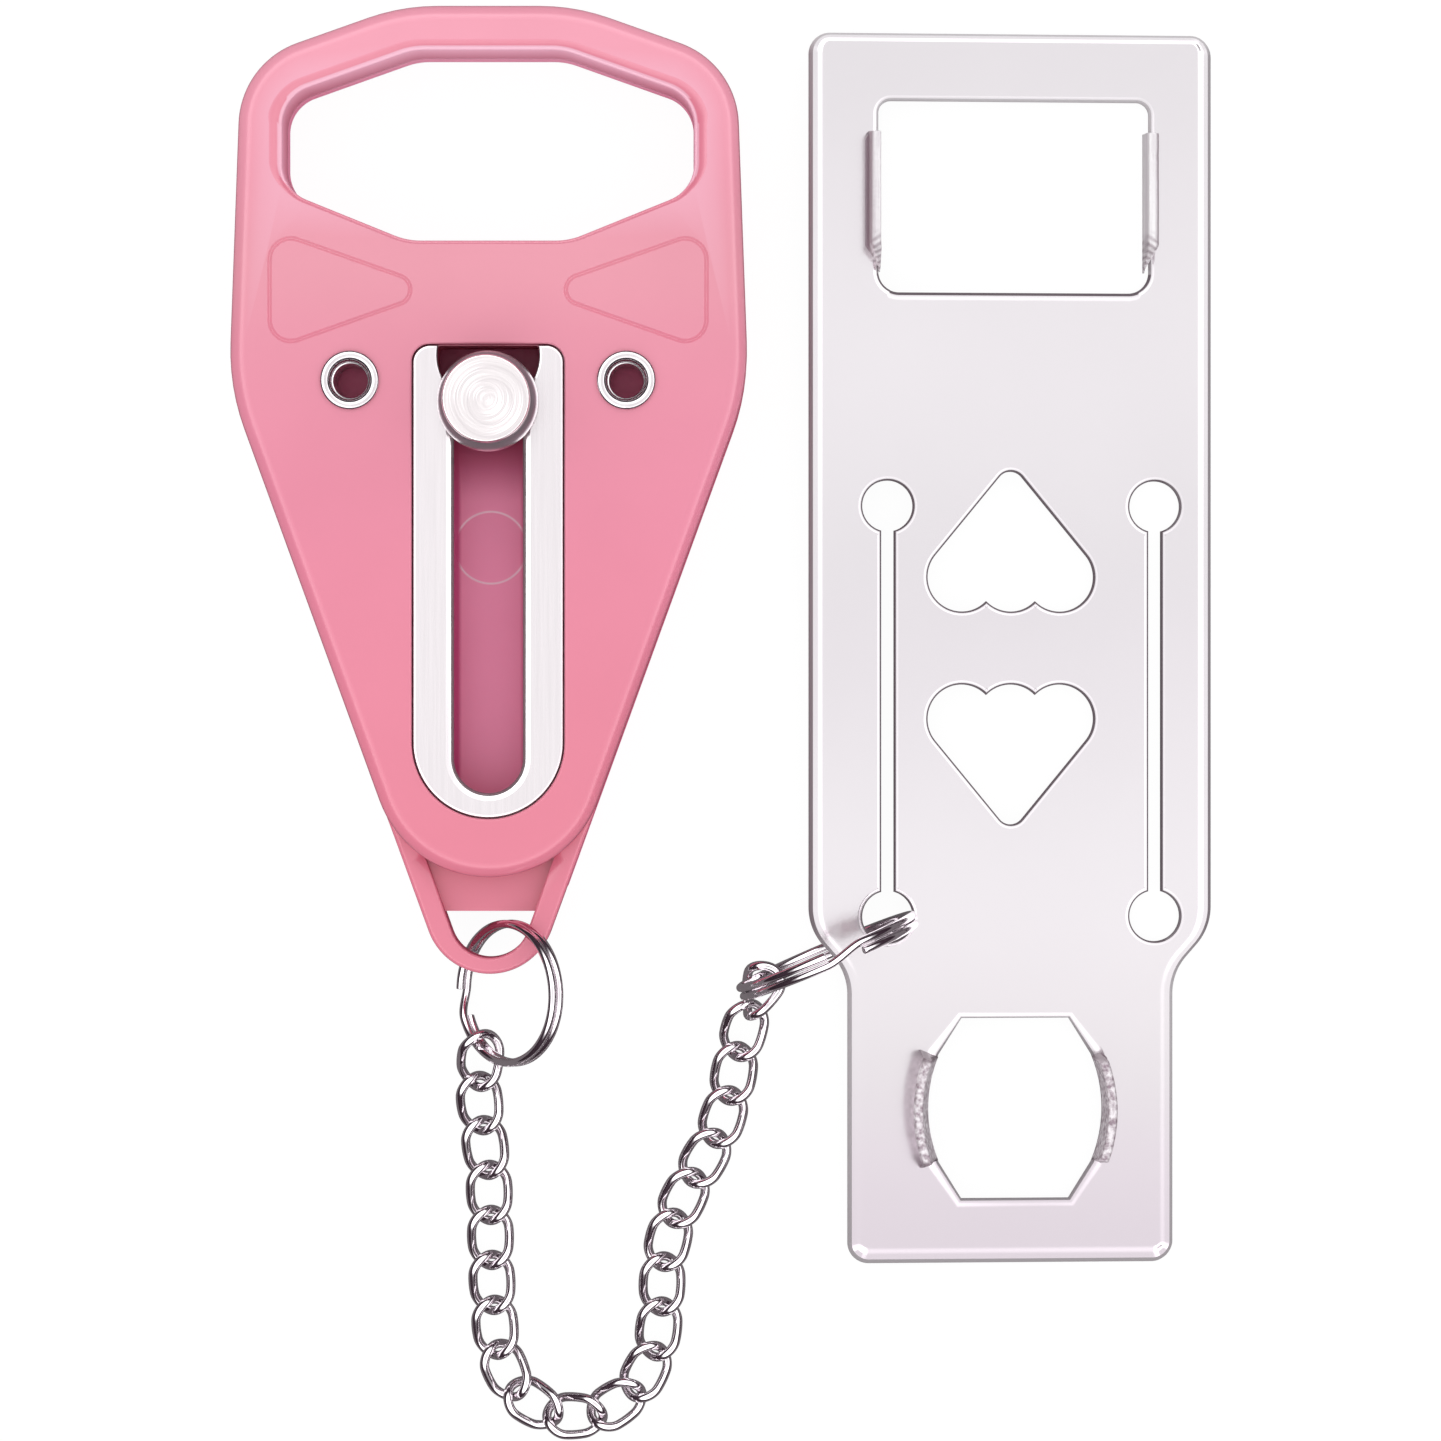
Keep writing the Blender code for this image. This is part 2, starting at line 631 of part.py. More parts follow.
def make_shells(lock, pink):
    """Front and back shells, cut from two rounded slabs."""
    far = -BODY_LENGTH - OVERRUN
    wide = BODY_HALF_WIDTH + OVERRUN
    over = BODY_THICKNESS + OVERRUN
    outlines = [body_outline(), handle_outline()]
    slab = flat_mesh("front_shell", outlines, 0, BODY_THICKNESS, BODY_EDGE_ROUND)
    front = add_part("front_shell", slab, pink, lock)
    outlines = [body_outline(), handle_outline(HANDLE_STEP)]
    slab = flat_mesh("back_shell", outlines, 0, BODY_THICKNESS, BODY_EDGE_ROUND)
    back = add_part("back_shell", slab, pink, lock)

    tail = -LOOP_BACK_DROP
    for shell, name, low, high in (
        (front, "below_split", (-wide, tail, -OVERRUN), (wide, OVERRUN, front_underside())),
        (front, "under_loop", (-wide, far, -OVERRUN), (wide, tail + OVERRUN, LOOP_UNDERSIDE)),
        (back, "above_split", (-wide, far, BACK_THICKNESS), (wide, OVERRUN, over)),
        (back, "back_tail", (-wide, far, -OVERRUN), (wide, tail + FIT_GAP, over)),
    ):
        cut(shell, add_cutter(name, box_mesh(name, low, high), lock))

    seat = flat_mesh("track_seat", [track_outer(FIT_GAP)], track_seat_height(), over)
    cut(front, add_cutter("track_seat", seat, lock))
    channel = flat_mesh("channel", [channel_outline()], 0, over)
    cut(front, add_cutter("channel", channel, lock))
    for side, label in ((-1, "left"), (1, "right")):
        cut(front, pad_groove(f"pad_groove_{label}", side, lock))
    eyelet_radius = EYELET_BORE_RADIUS + EYELET_WALL + FIT_GAP
    bore_profile = [(0, over), (eyelet_radius, over), (eyelet_radius, 0), (0, 0)]
    bore = turned_mesh("eyelet_bore", bore_profile, TURN_STEPS)
    eyelet_bores = copies_mesh("eyelet_bores", bore, mirrored_places(EYELET_SIDE, EYELET_DROP))
    cut(front, add_cutter("eyelet_bores", eyelet_bores, lock))

    make_loop(front, lock)
    for label, places, reach in (
        ("case", case_screw_places(), CASE_SCREW_REACH),
        ("track", track_screw_places(), track_screw_reach()),
    ):
        hole = turned_mesh(f"{label}_screw_hole", screw_hole_profile(reach), SCREW_STEPS)
        holes = add_cutter(f"{label}_screw_holes", copies_mesh(f"{label}_screw_holes", hole, places), lock)
        cut(front, holes)
        cut(back, holes)
    mark_profile = [
        (0, BODY_THICKNESS),
        (EJECTOR_MARK_RADIUS, BODY_THICKNESS),
        (EJECTOR_MARK_RADIUS, BACK_THICKNESS - EJECTOR_MARK_DEPTH),
        (0, BACK_THICKNESS - EJECTOR_MARK_DEPTH),
    ]
    mark = add_cutter("ejector_mark", turned_mesh("ejector_mark", mark_profile, TURN_STEPS), lock)
    mark.location.y = -EJECTOR_MARK_DROP
    cut(back, mark)


def make_loop(front, lock):
    """Step the foot down to a thin rim, sink its floor and pierce the hole for the split ring."""
    wide = BODY_HALF_WIDTH
    top = -PLATEAU_FOOT_DROP + PLATEAU_RADIUS
    plateau_profile = [
        (0, BODY_THICKNESS + 2 * OVERRUN),
        (PLATEAU_RADIUS, BODY_THICKNESS + 2 * OVERRUN),
        (PLATEAU_RADIUS, 0),
        (0, 0),
    ]
    plateau = add_cutter("plateau", turned_mesh("plateau", plateau_profile, 2 * TURN_STEPS), lock)
    plateau.location.y = top
    step = box_mesh(
        "loop_step",
        (-wide, -BODY_LENGTH - OVERRUN, LOOP_TOP_HEIGHT),
        (wide, top + OVERRUN, BODY_THICKNESS + OVERRUN),
    )
    step = add_cutter("loop_step", step, lock)
    pocket = flat_mesh("loop_pocket", [loop_outline(LOOP_RIM)], LOOP_FLOOR_HEIGHT, LOOP_TOP_HEIGHT + OVERRUN)
    cut(step, add_cutter("loop_pocket", pocket, lock), "UNION")
    cut(step, plateau)
    cut(front, step)
    hole = flat_mesh("loop_hole", [loop_hole_outline()], 0, BODY_THICKNESS)
    cut(front, add_cutter("loop_hole", hole, lock))


def make_track(lock, steel):
    """The stainless U in its seat."""
    low = track_seat_height() + FACE_GAP
    mesh = flat_mesh("slide_track", [track_outline()], low, low + TRACK_THICKNESS, TRACK_EDGE_ROUND)
    track = add_part("slide_track", mesh, steel, lock)
    radius = SCREW_SHANK_RADIUS + FIT_GAP
    top = track_screw_reach() + FIT_GAP
    profile = [(0, top), (radius, top), (radius, 0), (0, 0)]
    bore = turned_mesh("track_bore", profile, SCREW_STEPS)
    cut(track, add_cutter("track_bores", copies_mesh("track_bores", bore, track_screw_places()), lock))


def make_screws(lock, steel):
    """Every screw is a node of its own."""
    for label, places, reach in (
        ("case", case_screw_places(), CASE_SCREW_REACH),
        ("track", track_screw_places(), track_screw_reach()),
    ):
        mesh = profile_mesh(f"{label}_screw", screw_profile(reach))
        for i, place in enumerate(places, 1):
            screw = add_part(f"{label}_screw_{i}", mesh, steel, lock)
            turn(screw, SCREW_STEPS)
            screw.location = place


def make_eyelets(lock, steel):
    """Two steel eyelets, rolled over at the front, that line the blind holes."""
    outer = EYELET_BORE_RADIUS + EYELET_WALL
    face = BODY_THICKNESS + FACE_GAP
    low = front_underside() + FIT_GAP
    crest = face + EYELET_ROLL
    profile = [
        (EYELET_BORE_RADIUS, crest - EYELET_ROLL / 2),
        (EYELET_BORE_RADIUS + EYELET_ROLL / 2, crest),
        (EYELET_FLANGE_RADIUS - EYELET_ROLL, crest),
        (EYELET_FLANGE_RADIUS, crest - EYELET_ROLL / 2),
        (EYELET_FLANGE_RADIUS, face),
        (outer, face),
        (outer, low),
        (EYELET_BORE_RADIUS, low),
    ]
    mesh = profile_mesh("eyelet", profile, closed=True)
    for label, place in zip(("left", "right"), mirrored_places(EYELET_SIDE, EYELET_DROP)):
        eyelet = add_part(f"eyelet_{label}", mesh, steel, lock)
        turn(eyelet, TURN_STEPS)
        eyelet.location = place


def make_slider(lock, steel, white):
    """The flanged slider, its glide ring below the track and the washer below the knob."""
    slider_axis = add_empty("slider_axis", lock)
    slider_axis.location = (0, -KNOB_REST_DROP, 0)
    flange_low = BACK_THICKNESS + 2 * FIT_GAP + SLIDER_FLANGE_THICKNESS
    flange_top = flange_low + SLIDER_FLANGE_THICKNESS
    track_top = track_seat_height() + FACE_GAP + TRACK_THICKNESS
    shoulder = track_top + FACE_GAP
    knob_base = shoulder + WASHER_THICKNESS + 2 * FACE_GAP
    stud_top = knob_base + KNOB_BORE_DEPTH - 2 * FIT_GAP
    profile = [
        (0, stud_top),
        (SLIDER_STUD_RADIUS, stud_top),
        (SLIDER_STUD_RADIUS, shoulder),
        (SLIDER_NECK_RADIUS, shoulder),
        (SLIDER_NECK_RADIUS, flange_top),
        (SLIDER_FLANGE_RADIUS, flange_top),
        (SLIDER_FLANGE_RADIUS, flange_low),
        (0, flange_low),
    ]
    slider = add_part("slider", profile_mesh("slider", profile), steel, slider_axis)
    turn(slider, TURN_STEPS)

    def ring(name, outer, bore, low, high, material):
        loop = [(outer, high), (outer, low), (bore, low), (bore, high)]
        piece = add_part(name, profile_mesh(name, loop, closed=True), material, slider_axis)
        turn(piece, TURN_STEPS)

    glide_top = track_seat_height()
    ring("glide_ring", GLIDE_RADIUS, SLIDER_NECK_RADIUS + BORE_GAP, flange_top + FACE_GAP, glide_top, white)
    washer_low = shoulder + FACE_GAP
    washer_top = washer_low + WASHER_THICKNESS
    ring("knob_washer", WASHER_RADIUS, SLIDER_STUD_RADIUS + BORE_GAP, washer_low, washer_top, white)
    return slider_axis, knob_base


def make_knob(slider_axis, base, steel):
    """The thumb knob: flange, groove and a top with a shallow turned dish."""
    height = base + KNOB_HEIGHT
    groove_low = base + KNOB_FLANGE_HEIGHT
    groove_top = groove_low + KNOB_GROOVE_HEIGHT
    bore = SLIDER_STUD_RADIUS + BORE_GAP
    profile = [
        (0, height - KNOB_DISH_DEPTH),
        (KNOB_DISH_RADIUS, height - KNOB_DISH_DEPTH),
        (KNOB_DISH_RADIUS + KNOB_DISH_DEPTH, height),
        (KNOB_TOP_RADIUS - KNOB_TOP_ROUND, height),
        (KNOB_TOP_RADIUS, height - KNOB_TOP_ROUND),
        (KNOB_TOP_RADIUS, groove_top),
        (KNOB_TOP_RADIUS - KNOB_GROOVE_DEPTH, groove_top),
        (KNOB_TOP_RADIUS - KNOB_GROOVE_DEPTH, groove_low),
        (KNOB_FLANGE_RADIUS - KNOB_TOP_ROUND, groove_low),
        (KNOB_FLANGE_RADIUS, groove_low - KNOB_TOP_ROUND),
        (KNOB_FLANGE_RADIUS, base),
        (bore, base),
        (bore, base + KNOB_BORE_DEPTH),
        (0, base + KNOB_BORE_DEPTH),
    ]
    knob = add_part("thumb_knob", profile_mesh("thumb_knob", profile), steel, slider_axis)
    turn(knob, TURN_STEPS)


# Split rings and chain
def add_wire(name, points, radius, steel, parent, cyclic):
    """A round wire through the points, bevelled round a curve."""
    curve = bpy.data.curves.new(name, "CURVE")
    curve.dimensions = "3D"
    spline = curve.splines.new("POLY")
    spline.points.add(len(points) - 1)
    for point, place in zip(spline.points, points):
        point.co = (*place, 1)
    spline.use_cyclic_u = cyclic
    curve.bevel_depth = radius
    curve.bevel_resolution = 1
    curve.use_fill_caps = not cyclic
    return add_part(name, curve_mesh(curve), steel, parent)


def ring_radius(diameter):
    """Radius of the middle of a split ring's wire."""
    return diameter / 2 - RING_WIRE / 2


def turn_offset():
    """How far each of a ring's two turns lies from its middle plane."""
    return (RING_WIRE + RING_TURN_GAP) / 2


def ring_points(diameter, end_degrees):
    """Two turns of wire round the local Z axis, side by side, with one step over beside the wire's ends."""
    radius = ring_radius(diameter)
    points = []
    for i in range(1, 2 * RING_POINTS_PER_TURN):
        angle = math.radians(end_degrees) + 2 * math.pi * i / RING_POINTS_PER_TURN
        side = max(-1, min(1, i - RING_POINTS_PER_TURN))
        points.append((radius * math.cos(angle), radius * math.sin(angle), side * turn_offset()))
    return points


def small_ring_frame(lock_place):
    """The small ring's frame: it leans through the loop with its right side over the rim."""
    lean = math.radians(SMALL_RING_LEAN_DEGREES)
    height = ring_radius(SMALL_RING_DIAMETER) * math.sin(lean) + RING_WIRE / 2
    height += turn_offset() * math.cos(lean)
    place = lock_place + Vector((SMALL_RING_SIDE, -BODY_LENGTH - SMALL_RING_DROP, height))
    return Matrix.Translation(place) @ Matrix.Rotation(-lean, 4, "Y")


def link_points():
    """One curb link from its own joint, along +X: an oval whose two ends are twisted apart."""
    half_length = (LINK_LENGTH - LINK_WIRE) / 2
    half_width = (LINK_WIDTH - LINK_WIRE) / 2
    straight = half_length - half_width
    quarter = [math.pi / 2 * i / (LINK_END_POINTS // 2) for i in range(LINK_END_POINTS // 2 + 1)]
    end = [-angle for angle in reversed(quarter)] + quarter[1:]
    oval = [(straight + half_width * math.cos(a), half_width * math.sin(a)) for a in end]
    oval += [(-x, -y) for x, y in oval]
    points = []
    for x, y in oval:
        twist = math.radians(LINK_TWIST_DEGREES) * x / half_length
        points.append((x + link_pitch() / 2, y * math.cos(twist), y * math.sin(twist)))
    return points


def link_pitch():
    """Distance between neighbouring joints, with the wires a clearance apart."""
    return LINK_LENGTH - 2 * LINK_WIRE - LINK_CLEARANCE


def link_rest_height():
    """Height of a lying link's middle over the table."""
    return max(z for x, y, z in link_points()) + LINK_WIRE / 2


def direction(heading, pitch):
    """A unit vector from a heading in the table's plane and a pitch above it."""
    flat = Vector((math.cos(heading), math.sin(heading), 0))
    return flat * math.cos(pitch) + Vector((0, 0, 1)) * math.sin(pitch)


def pitch_over(rise):
    """The pitch at which one link gains a rise."""
    return math.asin(max(-1, min(1, rise / link_pitch())))


def chain_frames(hook):
    """The frame of each link, at its joint with the piece before it, and the joint after the last link."""
    headings = [math.radians(CHAIN_HEADING_DEGREES)]
    for bend in CHAIN_BENDS_DEGREES:
        headings.append(headings[-1] + math.radians(bend))
    first = math.radians(CHAIN_FIRST_PITCH_DEGREES)
    lift = math.radians(CHAIN_LIFT_PITCH_DEGREES)
    start = hook - direction(headings[0], first) * HOOK_SLACK
    second = pitch_over(link_rest_height() - start.z - link_pitch() * math.sin(first))
    last = pitch_over(CHAIN_END_HEIGHT - link_rest_height() - link_pitch() * math.sin(lift))
    level = [0] * (len(headings) - 4)
    frames = []
    place = start
    for heading, pitch in zip(headings, [first, second, *level, lift, last]):
        turned = Matrix.Rotation(heading, 4, "Z") @ Matrix.Rotation(-pitch, 4, "Y")
        frames.append(Matrix.Translation(place) @ turned)
        place = place + direction(heading, pitch) * link_pitch()
    frames[-1] = frames[-1] @ Matrix.Rotation(math.radians(CHAIN_END_ROLL_DEGREES), 4, "X")
    return frames, place, place - direction(headings[-1], last) * HOOK_SLACK


def large_ring_frame(hook):
    """The large ring's frame: it stands on edge, its wire through the last link, local Y upwards."""
    heading = math.radians(LARGE_RING_HEADING_DEGREES)
    height = LARGE_RING_DIAMETER / 2
    reach = math.sqrt(max(0, ring_radius(LARGE_RING_DIAMETER) ** 2 - (height - hook.z) ** 2))
    place = Vector((hook.x, hook.y, height)) + direction(heading, 0) * reach
    turned = Matrix.Rotation(heading, 4, "Z") @ Matrix.Rotation(math.pi / 2, 4, "X")
    return Matrix.Translation(place) @ turned


# Claw plate
def plate_frame(ring_centre):
    """The plate's frame, at its top edge's middle: the right edge is down, the left is on the ring."""
    tilt = math.radians(PLATE_TILT_DEGREES)
    height = PLATE_HALF_WIDTH * math.sin(tilt)
    middle = height + KEYHOLE_SIDE * math.sin(tilt) + PLATE_THICKNESS / 2 * math.cos(tilt)
    heading = math.radians(LARGE_RING_HEADING_DEGREES)
    reach = math.sqrt(max(0, ring_radius(LARGE_RING_DIAMETER) ** 2 - (ring_centre.z - middle) ** 2))
    crossing = ring_centre + direction(heading, 0) * reach
    crossing += direction(heading + math.pi / 2, 0) * PLATE_RING_OFFSET
    keyhole = Vector((-KEYHOLE_SIDE * math.cos(tilt), -KEYHOLE_UPPER_DROP - KEYHOLE_SPACING, 0))
    place = Vector((crossing.x - keyhole.x, crossing.y - keyhole.y, height))
    return Matrix.Translation(place) @ Matrix.Rotation(tilt, 4, "Y")


def plate_outline():
    """A long plate that narrows to a tongue through two soft shoulders."""
    right_half = [
        (PLATE_HALF_WIDTH, 0, PLATE_CORNER_ROUND),
        (PLATE_HALF_WIDTH, -PLATE_SHOULDER_DROP, PLATE_SHOULDER_ROUND),
        (PLATE_TONGUE_HALF_WIDTH, -PLATE_SHOULDER_DROP - PLATE_SHOULDER_RUN, PLATE_SHOULDER_ROUND),
        (PLATE_TONGUE_HALF_WIDTH, -PLATE_LENGTH, PLATE_TONGUE_ROUND),
    ]
    return rounded(both_sides(right_half))


def square_outline():
    """The square opening near the plate's top."""
    top = -SQUARE_TOP_DROP
    foot = top - SQUARE_HEIGHT
    right_half = [(SQUARE_HALF_WIDTH, top, SQUARE_ROUND), (SQUARE_HALF_WIDTH, foot, SQUARE_ROUND)]
    return rounded(both_sides(right_half))


def slot_outline(side):
    """A narrow slot with a round hole at each end."""
    half = KEYHOLE_SLOT_WIDTH / 2
    neck = math.asin(half / KEYHOLE_RADIUS)
    upper = (side * KEYHOLE_SIDE, -KEYHOLE_UPPER_DROP)
    lower = (side * KEYHOLE_SIDE, -KEYHOLE_UPPER_DROP - KEYHOLE_SPACING)
    points = arc_points(upper, KEYHOLE_RADIUS, neck - math.pi / 2, math.pi * 3 / 2 - neck)
    return points + arc_points(lower, KEYHOLE_RADIUS, math.pi / 2 + neck, math.pi * 5 / 2 - neck)


def heart_outline(tip_drop, up):
    """Three round lobes in a row and two straight sides that meet in a rounded tip."""
    radius = HEART_LOBE_RADIUS
    tip_radius = HEART_TIP_ROUND
    outer = HEART_LOBE_SPACING
    reach = math.hypot(outer, HEART_LENGTH)
    lean = math.atan2(outer, HEART_LENGTH) + math.asin((radius - tip_radius) / reach)
    dip = math.acos(outer / 2 / radius)
    right = arc_points((0, HEART_LENGTH), tip_radius, math.pi / 2, math.pi / 2 - (math.pi / 2 - lean))
    right += arc_points((outer, 0), radius, lean, -math.pi + dip)
    right += arc_points((0, 0), radius, -dip, -math.pi / 2)
    left = [(-x, y) for x, y in reversed(right)]
    middle = -tip_drop - up * (HEART_LENGTH + tip_radius)
    return without_repeats([(x, middle + up * y) for x, y in right + left])


def bulge_centre():
    """Where the bulging right side of the eight-sided opening has its centre, from the opening's middle."""
    half = OCTAGON_SIDE_HALF_HEIGHT
    return OCTAGON_SIDE - math.sqrt(OCTAGON_BULGE_RADIUS**2 - half**2)


def octagon_outline():
    """The eight-sided opening, its left and right sides bulging outwards."""
    lean = math.asin(OCTAGON_SIDE_HALF_HEIGHT / OCTAGON_BULGE_RADIUS)
    right = [(OCTAGON_HALF_FLAT, OCTAGON_HALF_HEIGHT)]
    right += arc_points((bulge_centre(), 0), OCTAGON_BULGE_RADIUS, lean, -lean)
    right += [(OCTAGON_HALF_FLAT, -OCTAGON_HALF_HEIGHT)]
    left = [(-x, y) for x, y in reversed(right)]
    return [(x, y - OCTAGON_DROP) for x, y in right + left]


def claw_side_view(name, top, foot, slope_top, slope_foot, height, side):
    """The claw seen from the side, as a slab across half the plate that trims the claw's ends."""
    profile = [
        (top, CLAW_ROOT_INSET),
        (top - slope_top, height),
        (foot + slope_foot, height),
        (foot, CLAW_ROOT_INSET),
    ]
    low, high = sorted((0, side * PLATE_HALF_WIDTH))
    mesh = flat_mesh(name, [profile], low, high)
    mesh.transform(Matrix(((0, 0, 1, 0), (1, 0, 0, 0), (0, 1, 0, 0), (0, 0, 0, 1))))
    return mesh


def square_claw_outline(side):
    """Straight claw at the square opening's side, seen from above."""
    inner = side * (SQUARE_HALF_WIDTH - CLAW_OVERHANG)
    outer = inner + side * CLAW_THICKNESS
    foot = -CLAW_TOP_DROP - CLAW_LENGTH - CLAW_SLOPE
    return [(inner, -CLAW_TOP_DROP), (outer, -CLAW_TOP_DROP), (outer, foot), (inner, foot)]


def octagon_claw_outline(side):
    """Curved claw along the bulging side, seen from above."""
    centre = (bulge_centre(), -OCTAGON_DROP)
    inner = OCTAGON_BULGE_RADIUS - CLAW_OVERHANG / 2
    lean = math.asin(OCTAGON_CLAW_HALF_SPAN / inner)
    points = arc_points(centre, inner, -lean, lean)
    points += arc_points(centre, inner + CLAW_THICKNESS, lean, -lean)
    return [(side * x, y) for x, y in points]


def make_plate(frame, steel, parent):
    """The plate with its openings and its four upturned claws."""
    outlines = [plate_outline(), square_outline(), slot_outline(-1), slot_outline(1), octagon_outline()]
    outlines += [heart_outline(HEART_UPPER_TIP_DROP, 1), heart_outline(HEART_LOWER_TIP_DROP, -1)]
    mesh = flat_mesh("claw_plate", outlines, 0, PLATE_THICKNESS, PLATE_EDGE_ROUND, edge_steps=0)
    plate = add_part("claw_plate", mesh, steel, parent)
    plate.matrix_basis = frame
    claw_foot = -CLAW_TOP_DROP - CLAW_LENGTH - CLAW_SLOPE
    octagon_top = -OCTAGON_DROP + OCTAGON_CLAW_HALF_SPAN
    octagon_foot = -OCTAGON_DROP - OCTAGON_CLAW_HALF_SPAN
    height = PLATE_THICKNESS + CLAW_HEIGHT
    octagon_height = PLATE_THICKNESS + OCTAGON_CLAW_HEIGHT
    slope = OCTAGON_CLAW_SLOPE
    square_ends = (-CLAW_TOP_DROP, claw_foot, 0, CLAW_SLOPE, height)
    curved_ends = (octagon_top, octagon_foot, slope, slope, octagon_height)
    for side, label in ((-1, "left"), (1, "right")):
        for kind, outline, ends in (
            ("square", square_claw_outline(side), square_ends),
            ("curved", octagon_claw_outline(side), curved_ends),
        ):
            strip = flat_mesh(f"{kind}_claw_{label}", [outline], 0, octagon_height)
            claw = add_cutter(strip.name, strip, plate)
            view = claw_side_view(f"{kind}_view_{label}", *ends, side)
            cut(claw, add_cutter(view.name, view, plate), "INTERSECT")
            cut(plate, claw, "UNION")
    return plate


# Putting the pieces together
def carry(obj_name, mesh_points, wire, steel, carrier, frame, cyclic):
    """A wire piece in its frame, carried by the empty on its joint."""
    obj = add_wire(obj_name, mesh_points, wire / 2, steel, carrier, cyclic)
    obj.matrix_basis = Matrix.Translation(-carrier.location) @ frame
    return obj


def rest_on_origin(layout, parts):
    """Move the whole layout so that its bounding box stands on the table round the origin."""
    graph = bpy.context.evaluated_depsgraph_get()
    points = []
    for obj in parts:
        done = obj.evaluated_get(graph)
        points += [done.matrix_world @ vertex.co for vertex in done.data.vertices]
    for axis in (0, 1):
        values = [point[axis] for point in points]
        layout.location[axis] = -(min(values) + max(values)) / 2


def print_joint(name, place, axis, layout):
    """Say where a joint ends up."""
    where = ", ".join(f"{value:.6f}" for value in layout.location + place)
    along = ", ".join(f"{value:.5f}" for value in axis)
    print(f"joint {name}: place ({where}) axis ({along})")


def build():
    """Make every piece and set it in its place."""
    clear_scene()
    pink = metal_or_plastic("pink_plastic", PINK, 0.3, 0)
    stainless = metal_or_plastic("stainless_steel", STAINLESS, 0.25, 1)
    bright = metal_or_plastic("bright_steel", BRIGHT_STEEL, 0.12, 1)
    plate_steel = metal_or_plastic("plate_steel", PLATE_STEEL, 0.3, 1)
    zinc = metal_or_plastic("zinc_plated_steel", ZINC_STEEL, 0.35, 1)
    white = metal_or_plastic("white_plastic", GLIDE_WHITE, 0.5, 0)

    layout = add_empty("layout")
    lock = add_empty("lock_body", layout)
    make_shells(lock, pink)
    make_track(lock, stainless)
    make_screws(lock, zinc)
    make_eyelets(lock, stainless)
    slider_axis, knob_base = make_slider(lock, stainless, white)
    make_knob(slider_axis, knob_base, bright)

    small = small_ring_frame(lock.location)
    small_axis = add_empty("ring_a_axis", layout)
    small_axis.location = (0, -BODY_LENGTH + LOOP_BAND / 2, (LOOP_UNDERSIDE + LOOP_FLOOR_HEIGHT) / 2)
    points = ring_points(SMALL_RING_DIAMETER, SMALL_RING_END_DEGREES)
    carry("ring_a", points, RING_WIRE, bright, small_axis, small, False)

    hook_angle = math.radians(CHAIN_HOOK_DEGREES)
    radius = ring_radius(SMALL_RING_DIAMETER)
    hook = small @ Vector((radius * math.cos(hook_angle), radius * math.sin(hook_angle), 0))
    frames, end, end_hook = chain_frames(hook)
    for i, frame in enumerate(frames, 1):
        link = add_wire(f"chain_link_{i:02d}", link_points(), LINK_WIRE / 2, bright, layout, True)
        link.matrix_basis = frame

    large = large_ring_frame(end_hook)
    large_axis = add_empty("ring_b_axis", layout)
    large_axis.location = end
    points = ring_points(LARGE_RING_DIAMETER, LARGE_RING_END_DEGREES)
    carry("ring_b", points, RING_WIRE, bright, large_axis, large, False)

    plate_axis = add_empty("claw_plate_axis", layout)
    plate_axis.location = large.translation
    on_axis = Matrix.Translation(-large.translation) @ plate_frame(large.translation)
    make_plate(on_axis, plate_steel, plate_axis)

    parts = [obj for obj in bpy.data.collections[PARTS].objects if obj.type != "EMPTY"]
    rest_on_origin(layout, parts)
    down = Vector((0, -1, 0))
    up = Vector((0, 0, 1))
    print_joint("slider", slider_axis.location, down, layout)
    print_joint("thumb_knob", slider_axis.location, up, layout)
    print_joint("ring_a", small_axis.location, Vector((1, 0, 0)), layout)
    for i, frame in enumerate(frames, 1):
        print_joint(f"chain_link_{i:02d} across", frame.translation, frame.col[1].xyz, layout)
        print_joint(f"chain_link_{i:02d} upright", frame.translation, frame.col[2].xyz, layout)
    print_joint("ring_b", end, large.col[2].xyz, layout)
    print_joint("claw_plate", large.translation, large.col[2].xyz, layout)


build()
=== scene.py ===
# %% [markdown]
# # A portable door lock, dressed for its photograph
#
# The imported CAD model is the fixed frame: it says where each piece is and how it moves. This script makes
# the pieces again as fine surfaces, gives them their finishes, and sets up the table, light and camera.
# Lengths are in millimetres up to the moment a mesh is made, because that is how such a lock is drawn.

import math

import bmesh
import bpy
import numpy as np
from mathutils import Matrix, Vector
from mathutils.geometry import tessellate_polygon


